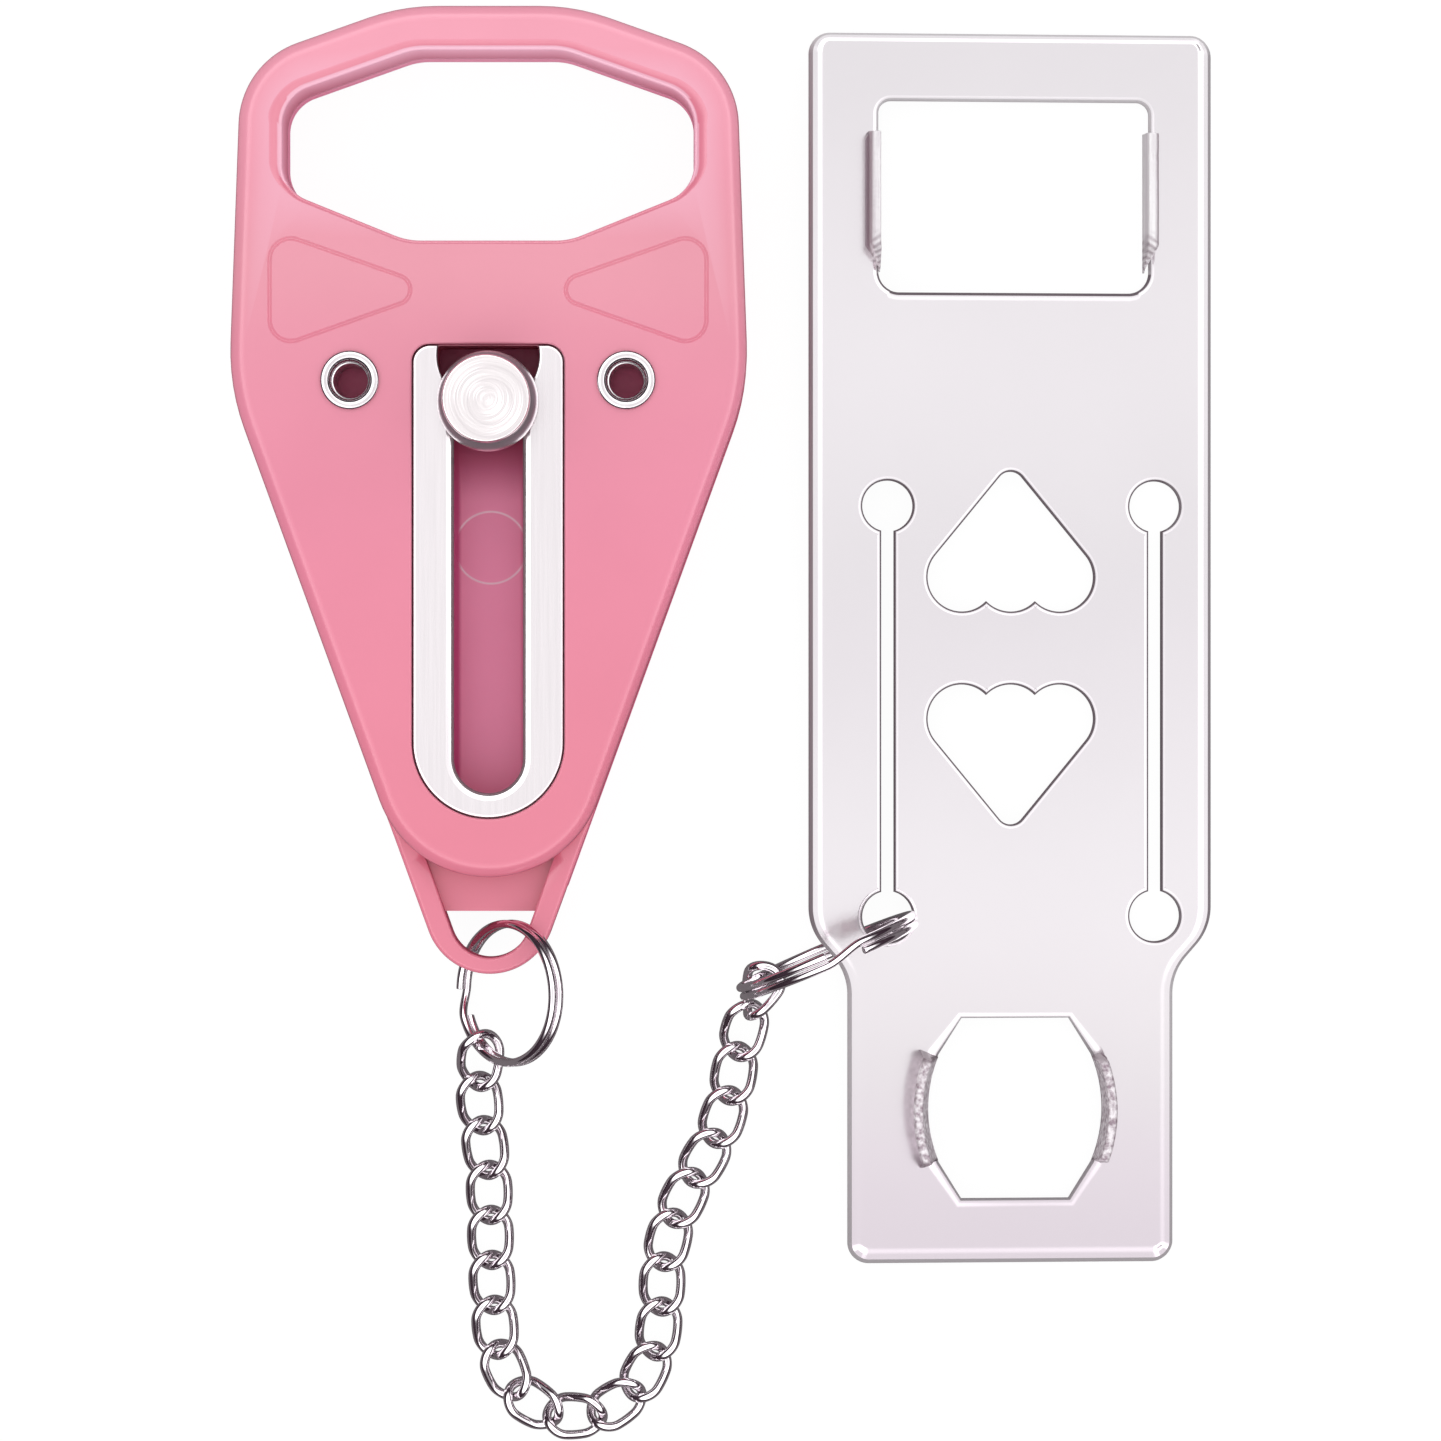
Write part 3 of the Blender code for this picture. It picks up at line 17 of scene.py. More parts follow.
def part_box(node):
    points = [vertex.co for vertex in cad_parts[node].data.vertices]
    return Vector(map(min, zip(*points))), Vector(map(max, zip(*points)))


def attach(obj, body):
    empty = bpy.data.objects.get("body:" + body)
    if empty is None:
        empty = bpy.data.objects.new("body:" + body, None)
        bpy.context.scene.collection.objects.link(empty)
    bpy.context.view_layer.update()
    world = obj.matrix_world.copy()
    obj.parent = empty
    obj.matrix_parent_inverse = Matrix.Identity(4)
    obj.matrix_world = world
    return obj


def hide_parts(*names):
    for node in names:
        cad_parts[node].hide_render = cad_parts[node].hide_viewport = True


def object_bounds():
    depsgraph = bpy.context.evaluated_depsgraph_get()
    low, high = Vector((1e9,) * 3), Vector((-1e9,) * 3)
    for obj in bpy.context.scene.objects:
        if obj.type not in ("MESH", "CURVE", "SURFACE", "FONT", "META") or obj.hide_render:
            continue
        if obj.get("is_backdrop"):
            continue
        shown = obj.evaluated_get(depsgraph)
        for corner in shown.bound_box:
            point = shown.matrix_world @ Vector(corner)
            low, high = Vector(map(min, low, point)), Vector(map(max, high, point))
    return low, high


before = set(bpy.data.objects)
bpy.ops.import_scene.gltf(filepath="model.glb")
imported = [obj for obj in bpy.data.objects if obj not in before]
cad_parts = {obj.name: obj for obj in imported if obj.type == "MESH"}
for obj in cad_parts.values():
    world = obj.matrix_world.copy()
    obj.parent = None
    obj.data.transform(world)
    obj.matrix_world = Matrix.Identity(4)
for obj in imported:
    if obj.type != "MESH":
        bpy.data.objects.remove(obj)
CAD_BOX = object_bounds()
MM = 0.001
print("nodes in the frame:", len(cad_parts))

# %% [markdown]
# ## Where the pieces lie
#
# The lock body is drawn from the middle of its top edge, so its place comes from its node's box. The two
# split rings and the plate lie at an angle, and their frames are those of the CAD source.


# %% Frames of the bodies, in millimetres
def shift(x, y, z=0.0):
    """A 4 x 4 matrix that moves by (x, y, z)."""
    return np.array(Matrix.Translation((x, y, z)))


def turned(axis, degrees):
    """A 4 x 4 matrix that turns about one axis."""
    return np.array(Matrix.Rotation(math.radians(degrees), 4, axis))


def box_mm(name):
    """Lowest and highest corner of a CAD node."""
    low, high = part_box(name)
    return np.array(low) / MM, np.array(high) / MM


shell_low, shell_high = box_mm("front_shell")
LOCK = shift((shell_low[0] + shell_high[0]) / 2, shell_high[1])
RING_A = shift(-26.537, -32.786, 7.039) @ turned("Y", -46)
RING_B = shift(12.612, -27.913, 11.9) @ turned("Z", 23) @ turned("X", 90)
PLATE = shift(35.453, 86.311, 1.665) @ turned("Y", 3.8)
print("lock body's top middle:", LOCK[:3, 3].round(2))

# %% [markdown]
# ## Outlines
#
# Every flat piece starts as an outline of corners with a radius each, as on a drawing. An outline is an
# array with one row per point: x, y and the unit vector that points away from the shape. With that vector
# the outline can be drawn in or let out by any amount, which is all a rounded edge needs.

# %% Outlines with their outward vectors
ARC_STEP = math.radians(4)


def units(angles):
    """The unit vector (cosine, sine) at each angle."""
    return np.column_stack((np.cos(angles), np.sin(angles)))


def full_turn(steps):
    """Angles in even steps once round."""
    return np.linspace(0, 2 * math.pi, steps, endpoint=False)


def arc(centre, radius, start, end, away=1):
    """Rows (x, y, nx, ny) along an arc: centre plus radius times the unit vector at each angle."""
    steps = max(2, math.ceil(abs(end - start) / ARC_STEP))
    unit = units(np.linspace(start, end, steps + 1))
    return np.hstack((np.asarray(centre) + radius * unit, away * unit))


def corner_arcs(corners):
    """One arc for each (x, y, radius) corner of a clockwise outline, touching both its sides."""
    places = np.array([corner[:2] for corner in corners], float)
    before = np.roll(places, 1, axis=0) - places
    after = np.roll(places, -1, axis=0) - places
    before /= np.linalg.norm(before, axis=1, keepdims=True)
    after /= np.linalg.norm(after, axis=1, keepdims=True)
    arcs = []
    for place, back, ahead, (_, _, radius) in zip(places, before, after, corners):
        half = math.acos(np.clip(back @ ahead, -1, 1)) / 2
        middle = (back + ahead) / np.linalg.norm(back + ahead)
        centre = place + middle * radius / math.sin(half)
        first = place + back * radius / math.tan(half) - centre
        last = place + ahead * radius / math.tan(half) - centre
        start = math.atan2(first[1], first[0])
        sweep = math.atan2(first[0] * last[1] - first[1] * last[0], first @ last)
        arcs.append(arc(centre, radius, start, start + sweep, 1 if sweep < 0 else -1))
    return arcs


def rounded(corners):
    """A closed outline from its rounded corners."""
    return np.vstack(corner_arcs(corners))


def both_sides(right_half):
    """The corners of a shape given as its right half from top to bottom."""
    return right_half + [(-x, y, radius) for x, y, radius in reversed(right_half) if x > 0]


def symmetric(right_half):
    """A closed outline from the rounded corners of its right half."""
    return rounded(both_sides(right_half))


def mirrored(rows):
    """The right side's points or outline rows, mirrored in x and taken from the other end."""
    return (rows * [-1, 1, -1, 1][: rows.shape[1]])[::-1]


def mitred(points):
    """An outline whose outward vectors are mitred at each point, for shapes with sharp corners."""
    points = np.asarray(points, float)
    points = points[np.linalg.norm(points - np.roll(points, 1, axis=0), axis=1) > 1e-6]
    along = np.roll(points, -1, axis=0) - points
    along /= np.linalg.norm(along, axis=1, keepdims=True)
    left = np.column_stack((-along[:, 1], along[:, 0]))
    both = np.roll(left, 1, axis=0) + left
    both /= (1 + (np.roll(left, 1, axis=0) * left).sum(axis=1))[:, None]
    return np.hstack((points, both))


def circle(x, y, radius, steps=72):
    """A closed clockwise circle."""
    unit = units(-full_turn(steps))
    return np.hstack((np.array([x, y]) + radius * unit, unit))


print("points on a circle:", len(circle(0, 0, 1)))

# %% [markdown]
# ## Surfaces
#
# A patch is a pair of arrays, points and faces. A wall carries a profile along an outline: each profile row
# is (inset, level, rise), and a weight along the outline can let a rounded edge fade out. A cap fills a
# level between outlines. Patches that share their border points are welded into one closed piece.

# %% Walls, caps and rounded edges
HOLD = 0.03
WELD = 0.0000004
SIDE_SHARE = 0.45
CORNER_STEPS = 4
WIRE_SIDES = 18


def grid(points, close_rows=False, close_columns=False):
    """Quads between the neighbours in an (M, N, 3) array of points."""
    index = np.arange(points.shape[0] * points.shape[1]).reshape(points.shape[:2])
    if close_rows:
        index = np.vstack((index, index[:1]))
    if close_columns:
        index = np.hstack((index, index[:, :1]))
    corners = (index[:-1, :-1], index[:-1, 1:], index[1:, 1:], index[1:, :-1])
    return points.reshape(-1, 3), np.stack(corners, axis=-1).reshape(-1, 4)


def wall(outline, profile, weight=1.0, closed=True, lift=0.0):
    """A profile of (inset, level, rise) rows carried along an outline.

    Point = outline - outward * inset * weight, at height level + rise * weight. Rows may hold a fourth
    number, a fall, which lowers the point by fall * lift.
    """
    profile = np.array(profile, float)
    weight = np.broadcast_to(weight, len(outline))
    inset = profile[:, :1] * weight
    flat = outline[None, :, :2] - outline[None, :, 2:] * inset[:, :, None]
    height = profile[:, 1:2] + profile[:, 2:3] * weight
    if profile.shape[1] > 3:
        height = height - profile[:, 3:] * lift
    return grid(np.dstack((flat, height)), close_columns=closed)


def strip(chain, profile, weight=1.0):
    """A wall along an open chain."""
    return wall(chain, profile, weight, closed=False)


def edge_of(chain, profile_row, weight=1.0):
    """One row of a wall, as a loop of points for a cap."""
    return wall(chain, [profile_row], weight)[0]


def cap(loops, level):
    """Triangles at one level, inside the first loop and outside the others."""
    rings = [np.hstack((loop[:, :2], np.zeros((len(loop), 1)))) for loop in loops]
    triangles = tessellate_polygon([list(map(Vector, ring)) for ring in rings])
    points = np.vstack(rings)
    points[:, 2] = level
    return points, np.array(triangles)


def inset(outline, amount):
    """An outline drawn in by an amount."""
    return np.hstack((outline[:, :2] - outline[:, 2:] * amount, outline[:, 2:]))


def round_edge(radius, level, way=1, side=1, steps=6):
    """Profile rows of a quarter round that ends on a flat at a level.

    way is 1 below a top face and -1 above an underside; side is -1 for the edge of a hole.
    """
    angles = np.linspace(0, math.pi / 2, steps + 1)
    rows = [(side * radius * (1 - math.cos(a)), level, -way * radius * (1 - math.sin(a))) for a in angles]
    return rows + [(side * (radius + HOLD), level, 0)]


print("rows in a rounded edge:", len(round_edge(1, 0)))

# %% [markdown]
# A piece is one closed object on the body that moves it. Its patches could be joined by booleans, but welding
# borders that already meet keeps every face where it was drawn, and a gap shows in the count of open edges.


# %% Pieces
def points_of(mesh):
    """A mesh's points as an (N, 3) array in millimetres."""
    places = np.empty(len(mesh.vertices) * 3)
    mesh.vertices.foreach_get("co", places)
    return places.reshape(-1, 3) / MM


def piece(name, patches, material, body, place, slot, stands_for=(), sharp=32, **values):
    """Weld patches into one closed object, smooth it between sharp edges, and set it on its body.

    place is the 4 x 4 matrix of the piece's own frame. Each of values is a function that gives the welded
    points, in that frame, a number from 0 to 1 under its name, which a finish can read.
    """
    points, faces, start = [], [], 0
    for patch_points, patch_faces in patches:
        points.append(patch_points)
        faces += (patch_faces + start).tolist()
        start += len(patch_points)
    points = np.vstack(points) @ place[:3, :3].T + place[:3, 3]
    mesh = bpy.data.meshes.new(name)
    mesh.from_pydata(points * MM, [], faces)
    shape = bmesh.new()
    shape.from_mesh(mesh)
    bmesh.ops.remove_doubles(shape, verts=shape.verts, dist=WELD)
    bmesh.ops.dissolve_degenerate(shape, edges=shape.edges, dist=WELD)
    bmesh.ops.recalc_face_normals(shape, faces=shape.faces)
    open_edges = sum(not edge.is_manifold for edge in shape.edges)
    shape.to_mesh(mesh)
    shape.free()
    places = (points_of(mesh) - place[:3, 3]) @ place[:3, :3]
    for label, value in values.items():
        numbers = mesh.attributes.new(label, "FLOAT", "POINT").data
        numbers.foreach_set("value", value(places).astype(np.float32))
    mesh.shade_smooth()
    mesh.set_sharp_from_angle(angle=math.radians(sharp))
    mesh.materials.append(material)
    obj = bpy.data.objects.new(name, mesh)
    bpy.context.scene.collection.objects.link(obj)
    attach(obj, body)
    if stands_for:
        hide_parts(*stands_for)
    print(f"{name}: {len(mesh.polygons)} faces, {open_edges} open edges")


# %% [markdown]
# Turned pieces are a profile carried round an axis, and wires a circle carried along a path. Blender's curves
# and its Screw modifier can make both. As arrays they are patches too, and meet the others point for point.


# %% Turned shapes and wires
def lathe(profile, x, y, steps=96):
    """A profile of (radius, height) rows turned about a vertical axis at (x, y)."""
    profile = np.array(profile, float)
    flat = np.array([x, y]) + profile[:, :1, None] * units(full_turn(steps))[None]
    height = np.broadcast_to(profile[:, 1:2], flat.shape[:2])
    return grid(np.dstack((flat, height)), close_columns=True)


def softened(profile, radius):
    """A profile with rounded inner points: each becomes a parabola that touches both its sides."""
    profile = np.array(profile, float)
    before, here, after = profile[:-2], profile[1:-1], profile[2:]
    back, ahead = before - here, after - here
    reach_back = np.minimum(radius / np.linalg.norm(back, axis=1, keepdims=True), SIDE_SHARE)
    reach_ahead = np.minimum(radius / np.linalg.norm(ahead, axis=1, keepdims=True), SIDE_SHARE)
    first, last = here + back * reach_back, here + ahead * reach_ahead
    t = np.linspace(0, 1, CORNER_STEPS + 1)[None, :, None]
    curve = (1 - t) ** 2 * first[:, None] + 2 * t * (1 - t) * here[:, None] + t**2 * last[:, None]
    return np.vstack((profile[:1], curve.reshape(-1, 2), profile[-1:]))


def tube(path, radius, closed=True):
    """A round wire: a circle carried along a path, its plane square to the path.

    The circle's two axes are tangent x Z and its cross product with the tangent, so it never twists.
    """
    path = np.asarray(path, float)
    if closed:
        along = np.roll(path, -1, axis=0) - np.roll(path, 1, axis=0)
    else:
        along = np.gradient(path, axis=0)
    along /= np.linalg.norm(along, axis=1, keepdims=True)
    across = np.cross(along, [0, 0, 1])
    across /= np.linalg.norm(across, axis=1, keepdims=True)
    up = np.cross(across, along)
    radius = np.broadcast_to(radius, len(path))[:, None, None]
    cosine, sine = units(full_turn(WIRE_SIDES)).T[:, None, :, None]
    ring = across[:, None] * cosine + up[:, None] * sine
    return grid(path[:, None] + radius * ring, close_rows=closed, close_columns=True)


# %% [markdown]
# ## Shared effects
#
# Each effect is a node group that is built once: a short function below becomes the group of its name. A
# group gives a mask or a height, and the material decides what to do with it: mix two colours, vary the
# roughness or lift the surface a little.


# %% Node groups
def feed(tree, pairs):
    """Give each socket of the (socket, value) pairs an output or a plain value, or pass over None."""
    for socket, value in pairs:
        if isinstance(value, bpy.types.NodeSocket):
            tree.links.new(socket, value)
        elif value is not None:
            socket.default_value = value


def add_node(tree, kind, *sources, **values):
    """A node. Sources feed its first inputs in order. Values in lower case are settings, the rest inputs."""
    node = tree.nodes.new(kind)
    for key in filter(str.islower, values):
        setattr(node, key, values[key])
    feed(tree, zip(node.inputs, sources))
    feed(tree, [(node.inputs[key], value) for key, value in values.items() if not key.islower()])
    return node


def calc(tree, operation, *sources):
    """The result of a Math node."""
    return add_node(tree, "ShaderNodeMath", *sources, operation=operation).outputs[0]


def vector_calc(tree, operation, *sources):
    """The result of a Vector Math node: a vector, or a number for a length or a dot product."""
    node = add_node(tree, "ShaderNodeVectorMath", *sources, operation=operation)
    return node.outputs[1 if operation in ("LENGTH", "DOT_PRODUCT") else 0]


def ranged(tree, *sources, smooth=False):
    """A value carried from one range to another: (value, from low, from high, to low, to high)."""
    kind = "SMOOTHSTEP" if smooth else "LINEAR"
    return add_node(tree, "ShaderNodeMapRange", *sources, interpolation_type=kind).outputs[0]


def mixed(tree, factor, first, second, blend="MIX"):
    """Two colours mixed; a Mix node's colours are its seventh and eighth inputs."""
    sources = (factor, *[None] * 5, first, second)
    return add_node(tree, "ShaderNodeMix", *sources, data_type="RGBA", blend_type=blend).outputs[2]


def ramp(tree, factor, stops, interpolation="LINEAR"):
    """The colour of a ramp through its (position, colour) stops."""
    node = add_node(tree, "ShaderNodeValToRGB", factor)
    node.color_ramp.interpolation = interpolation
    for _ in stops[2:]:
        node.color_ramp.elements.new(0.5)
    for element, (position, colour) in zip(node.color_ramp.elements, stops):
        element.position, element.color = position, colour
    return node.outputs["Color"]


def place_in(tree, space="Object"):
    """A place or a normal in the object's own space, or the direction of a ray to the dome."""
    return add_node(tree, "ShaderNodeTexCoord").outputs[space]


def parts_of(tree, vector):
    """A vector's X, Y and Z."""
    return add_node(tree, "ShaderNodeSeparateXYZ", vector).outputs


def noise(tree, detail, **inputs):
    """Noise of a place, or with W of one number."""
    kind = "1D" if "W" in inputs else "3D"
    inputs |= {"noise_dimensions": kind, "Detail": detail}
    return add_node(tree, "ShaderNodeTexNoise", **inputs).outputs["Fac"]


def axis_distance(tree, centre):
    """Distance from the vertical axis through a centre."""
    flat = vector_calc(tree, "MULTIPLY", vector_calc(tree, "SUBTRACT", place_in(tree), centre), (1, 1, 0))
    return vector_calc(tree, "LENGTH", flat)


def carried(tree, label):
    """The value that a piece carries on its points under a name."""
    return add_node(tree, "ShaderNodeAttribute", attribute_name=label).outputs["Fac"]


def node_group(**inputs):
    """Turn a function of (tree, inputs by name) into a node group; what it returns is the output, Mask."""

    def make(build):
        tree = bpy.data.node_groups.new(build.__name__, "ShaderNodeTree")
        for label, value in inputs.items():
            kind = "NodeSocketVector" if isinstance(value, tuple) else "NodeSocketFloat"
            tree.interface.new_socket(label, in_out="INPUT", socket_type=kind).default_value = value
        tree.interface.new_socket("Mask", in_out="OUTPUT", socket_type="NodeSocketFloat")
        given = tree.nodes.new("NodeGroupInput").outputs
        tree.links.new(tree.nodes.new("NodeGroupOutput").inputs["Mask"], build(tree, given))
        return tree

    return make


# %% [markdown]
# The masks follow what made each surface: moulding leaves soft patches, a belt draws long marks, a turning
# tool leaves rings. The last three read where painted shade or light goes from a value on the piece's own
# points.


# %% Masks
@node_group(Scale=60.0)
def mottle(tree, given):
    """Soft patches of two sizes, for slight changes of colour and gloss."""
    return noise(tree, 5, Vector=place_in(tree), Scale=given["Scale"])


@node_group(Scale=2500.0)
def grain(tree, given):
    """Fine even grain."""
    return noise(tree, 2, Vector=place_in(tree), Scale=given["Scale"])


@node_group(Scale=2500.0, Stretch=(1, 0.02, 1))
def brushed(tree, given):
    """Noise drawn out along Y, as a belt leaves on sheet steel."""
    drawn = vector_calc(tree, "MULTIPLY", place_in(tree), given["Stretch"])
    return noise(tree, 3, Vector=drawn, Scale=given["Scale"])


@node_group(Centre=(0, 0, 0), Scale=3000.0)
def turned_rings(tree, given):
    """Fine rings round a vertical axis, as a turning tool leaves: noise of the distance to the axis."""
    return noise(tree, 4, W=axis_distance(tree, given["Centre"]), Scale=given["Scale"])


@node_group(Low=0.0, High=1.0)
def rise(tree, given):
    """0 at one place along Y and 1 at another, in even steps between."""
    return ranged(tree, parts_of(tree, place_in(tree))["Y"], given["Low"], given["High"])


@node_group(Flat=0.9, Upright=0.4)
def steep(tree, given):
    """0 where a surface lies flat and 1 where it stands up, from how far its normal points along Z."""
    along = calc(tree, "ABSOLUTE", parts_of(tree, place_in(tree, "Normal"))["Z"])
    return ranged(tree, along, given["Flat"], given["Upright"], smooth=True)


@node_group(Middle=0.0, Inner=0.0, Outer=0.0, Level=0.0, Clear=0.0, End=0.0)
def channel_side_shade(tree, given):
    """Painted shade on a channel's sides above a level: 1 well away from its middle along X, or 0.8 near its
    end.
    """
    place = parts_of(tree, place_in(tree))
    away = calc(tree, "ABSOLUTE", calc(tree, "SUBTRACT", place["X"], given["Middle"]))
    side = ranged(tree, away, given["Inner"], given["Outer"], smooth=True)
    end = ranged(tree, place["Y"], given["Clear"], given["End"], 0, 0.8, smooth=True)
    above = calc(tree, "GREATER_THAN", place["Z"], given["Level"])
    return calc(tree, "MULTIPLY", calc(tree, "MAXIMUM", side, end), above)


@node_group(Centre=(0, 0, 0), Radius=0.0, Width=1.0)
def circle_line(tree, given):
    """1 on a thin circle about a vertical axis, fading to 0 beside it."""
    beside = calc(tree, "SUBTRACT", axis_distance(tree, given["Centre"]), given["Radius"])
    return ranged(tree, calc(tree, "ABSOLUTE", beside), 0, given["Width"], 1, 0)


@node_group()
def shade(tree, given):
    """How much painted shade a piece carries at each point."""
    return carried(tree, "shade")


@node_group()
def inner_wall(tree, given):
    """How much painted light a shell carries on the finger opening's wall and beside its slope."""
    return carried(tree, "inner_wall")


@node_group(Flat=0.9, Upright=0.4)
def shaded_steep(tree, given):
    """The steep mask times the painted shade that a piece carries."""
    slope = add_node(tree, "ShaderNodeGroup", given["Flat"], given["Upright"], node_tree=steep)
    return calc(tree, "MULTIPLY", slope.outputs["Mask"], carried(tree, "shade"))


print("node groups:", [tree.name for tree in bpy.data.node_groups])

# %% [markdown]
# ## Finishes
#
# A finish takes two close colours, a range of roughness and a height. The mask that mixes them is what tells
# moulded plastic from turned, brushed or drawn steel. Marks add colour at the edges, mostly painted shade or
# highlight: on the steep sides, along a cut, or where the piece itself carries a value from point to point.


# %% Materials
def linear(red, green, blue):
    """A screen colour from 0 to 255 as linear light."""
    value = np.array([red, green, blue]) / 255
    light = np.where(value <= 0.04045, value / 12.92, ((value + 0.055) / 1.055) ** 2.4)
    return (*light.tolist(), 1.0)


MASK_SPREAD = (0.3, 0.7)
COAT_ROUGHNESS = 0.15
SPECULAR = 0.5


def finish(name, pair, roughness, metallic, masks, bump, coat=0.0, painted_light=None, marks=(), matt=None):
    """A Principled material whose colour and roughness follow one mask and whose bump follows another.

    pair is two screen colours. masks is ((group, its input values) for colour, the same for height); bump is
    (strength, distance in m). painted_light is a list of (place along Y in mm, screen colour of its tint),
    from
    low to high: a slow painted change of light. marks is a list of (group, input values, screen colour):
    another colour where the group's mask is 1, mostly painted shade or highlight. matt is (group, input
    values, roughness, metallic): what the surface has, with no gloss, where the mask is 1.
    """
    material = bpy.data.materials.new(name)
    material.use_nodes = True
    tree = material.node_tree
    shader = tree.nodes["Principled BSDF"].inputs

    def use(group, values):
        return add_node(tree, "ShaderNodeGroup", node_tree=group, **values).outputs["Mask"]

    colour_mask, height_mask = use(*masks[0]), use(*masks[1])
    colour = ramp(tree, colour_mask, [(0.35, linear(*pair[0])), (0.65, linear(*pair[1]))])
    # painted light: a slow tint along Y, multiplied into the colour
    if painted_light:
        low, high = painted_light[0][0], painted_light[-1][0]
        stops = [((place - low) / (high - low), linear(*tone)) for place, tone in painted_light]
        tint = ramp(tree, use(rise, {"Low": low * MM, "High": high * MM}), stops, "B_SPLINE")
        colour = mixed(tree, 1.0, colour, tint, "MULTIPLY")
    for group, values, tone in marks:
        colour = mixed(tree, use(group, values), colour, linear(*tone))
    rough = ranged(tree, height_mask, *MASK_SPREAD, *roughness)
    lift = add_node(tree, "ShaderNodeBump", Strength=bump[0], Distance=bump[1], Height=height_mask)
    inputs = {"Base Color": colour, "Metallic": metallic, "Coat Weight": coat}
    inputs["Coat Roughness"] = COAT_ROUGHNESS
    if matt:
        group, values, matt_roughness, matt_metallic = matt
        dull = use(group, values)
        rough = add_node(tree, "ShaderNodeMix", dull, None, rough, matt_roughness).outputs[0]
        falls = {"Specular IOR Level": (SPECULAR, 0), "Coat Weight": (coat, 0)}
        falls["Metallic"] = (metallic, matt_metallic)
        inputs.update({key: ranged(tree, dull, 0, 1, *fall) for key, fall in falls.items() if fall[0]})
    inputs.update({"Roughness": rough, "Normal": lift.outputs["Normal"]})
    feed(tree, [(shader[key], value) for key, value in inputs.items()])
    return material


def on_lock(x, drop):
    """A place on the lock, at a drop below its top edge, in metres."""
    return ((LOCK[0, 3] + x) * MM, (LOCK[1, 3] - drop) * MM, 0)


KNOB_DROP = 48.6
MARK_DROP = 66.2
MARK_RADIUS = 4.45
# Painted light: tints by drop along the body, palest near its top, for a studio light that is not quite even.
PINK_PAINTED_LIGHT = [
    (101, (240, 194, 207)), (68, (240, 202, 219)), (53, (238, 204, 220)), (39.8, (240, 217, 227)),
    (31.5, (240, 229, 231)), (20.8, (242, 221, 231)), (4.3, (252, 241, 248)),
]
PINK_PAINTED_LIGHT = [(LOCK[1, 3] - drop, tint) for drop, tint in PINK_PAINTED_LIGHT]
# Painted light: tints along the plate, brighter or dimmer where the studio's light falls unevenly.
PLATE_PAINTED_LIGHT = [
    (-63, (238, 232, 237)), (-53, (243, 238, 242)), (-44, (246, 245, 245)), (-33, (254, 253, 253)),
    (-22, (255, 255, 255)), (-9, (252, 252, 252)), (10, (247, 246, 247)), (21, (244, 244, 244)),
    (36, (250, 250, 250)), (49, (252, 252, 252)), (66, (249, 249, 249)), (83, (243, 243, 243)),
]
WALL_STEEP = {"Flat": 0.35, "Upright": 0.05}
EDGE_STEEP = {"Flat": 0.95, "Upright": 0.75}
BEVEL_STEEP = {"Flat": 0.88, "Upright": 0.4}
# where painted shade goes on the back shell's face: the channel's sides and its upper end
SHADED_CHANNEL = {"Middle": on_lock(0, 0)[0], "Inner": 3.5 * MM, "Outer": 4.15 * MM, "Level": 3.8 * MM}
SHADED_CHANNEL |= {"Clear": on_lock(0, 61)[1], "End": on_lock(0, 53)[1]}
SHADE_BEYOND_TRACK = {**SHADED_CHANNEL, "Inner": 9 * MM, "Outer": 10 * MM}
MARK_RIM_HIGHLIGHT = {"Centre": on_lock(0, MARK_DROP), "Radius": MARK_RADIUS * MM, "Width": 0.2 * MM}
SWIRL = {"Centre": on_lock(0.55, KNOB_DROP + 0.45), "Scale": 1300}
RINGS = {"Centre": on_lock(0, KNOB_DROP), "Scale": 4000}


def masks(first, scale, second, second_scale):
    """The masks for colour and height, where each needs nothing but a scale."""
    return (first, {"Scale": scale}), (second, {"Scale": second_scale})


# %% [markdown]
# The body is moulded in pink plastic with a clear gloss on its faces; its upright walls are matt, with painted
# shade at the edges. Painted light changes its tone slowly along it, as a studio's light is never quite even.

# %% Pink plastic
pink = finish(
    "pink plastic", ((251, 171, 188), (255, 175, 192)), (0.28, 0.36), 0, masks(mottle, 45, grain, 2200),
    (0.06, 0.00002), 0.7, PINK_PAINTED_LIGHT,
    [
        # painted shade: darker where the rounded edge turns down to the side
        (steep, {"Flat": 0.5, "Upright": 0.12}, (190, 92, 116)),
        # painted shade down the slope to the finger opening
        (shade, {}, (232, 126, 150)),
        # painted light on the finger opening's wall, and a painted highlight on the crease beside the slope
        (inner_wall, {}, (252, 194, 215)),
    ],
    (steep, WALL_STEEP, 0.6, 0),
)
pink_back = finish(
    "pink plastic, back shell", ((249, 143, 182), (253, 148, 187)), (0.36, 0.48), 0,
    masks(mottle, 45, grain, 1800), (0.10, 0.00002),
    marks=[
        # painted highlight on the rim of the ejector pin's round mark
        (circle_line, MARK_RIM_HIGHLIGHT, (255, 218, 232)),
        # painted shade along the channel's sides and towards its upper end
        (channel_side_shade, SHADED_CHANNEL, (205, 66, 128)),
        # painted shade on the back shell's face beyond the track's sides, as at the floors of the eyelets'
        # bores
        (channel_side_shade, SHADE_BEYOND_TRACK, (172, 50, 92)),
        # painted light on the finger opening's wall
        (inner_wall, {}, (252, 206, 224)),
    ],
    matt=(steep, WALL_STEEP, 0.6, 0),
)
print("pink materials:", pink.name, "and", pink_back.name)

# %% [markdown]
# The plate is polished and the track brushed. The claws are paler and rough where they were sheared or torn,
# the knob is turned, and the wires are plated bright. Almost all that steel shows is what it reflects, so its
# own colours hardly differ.

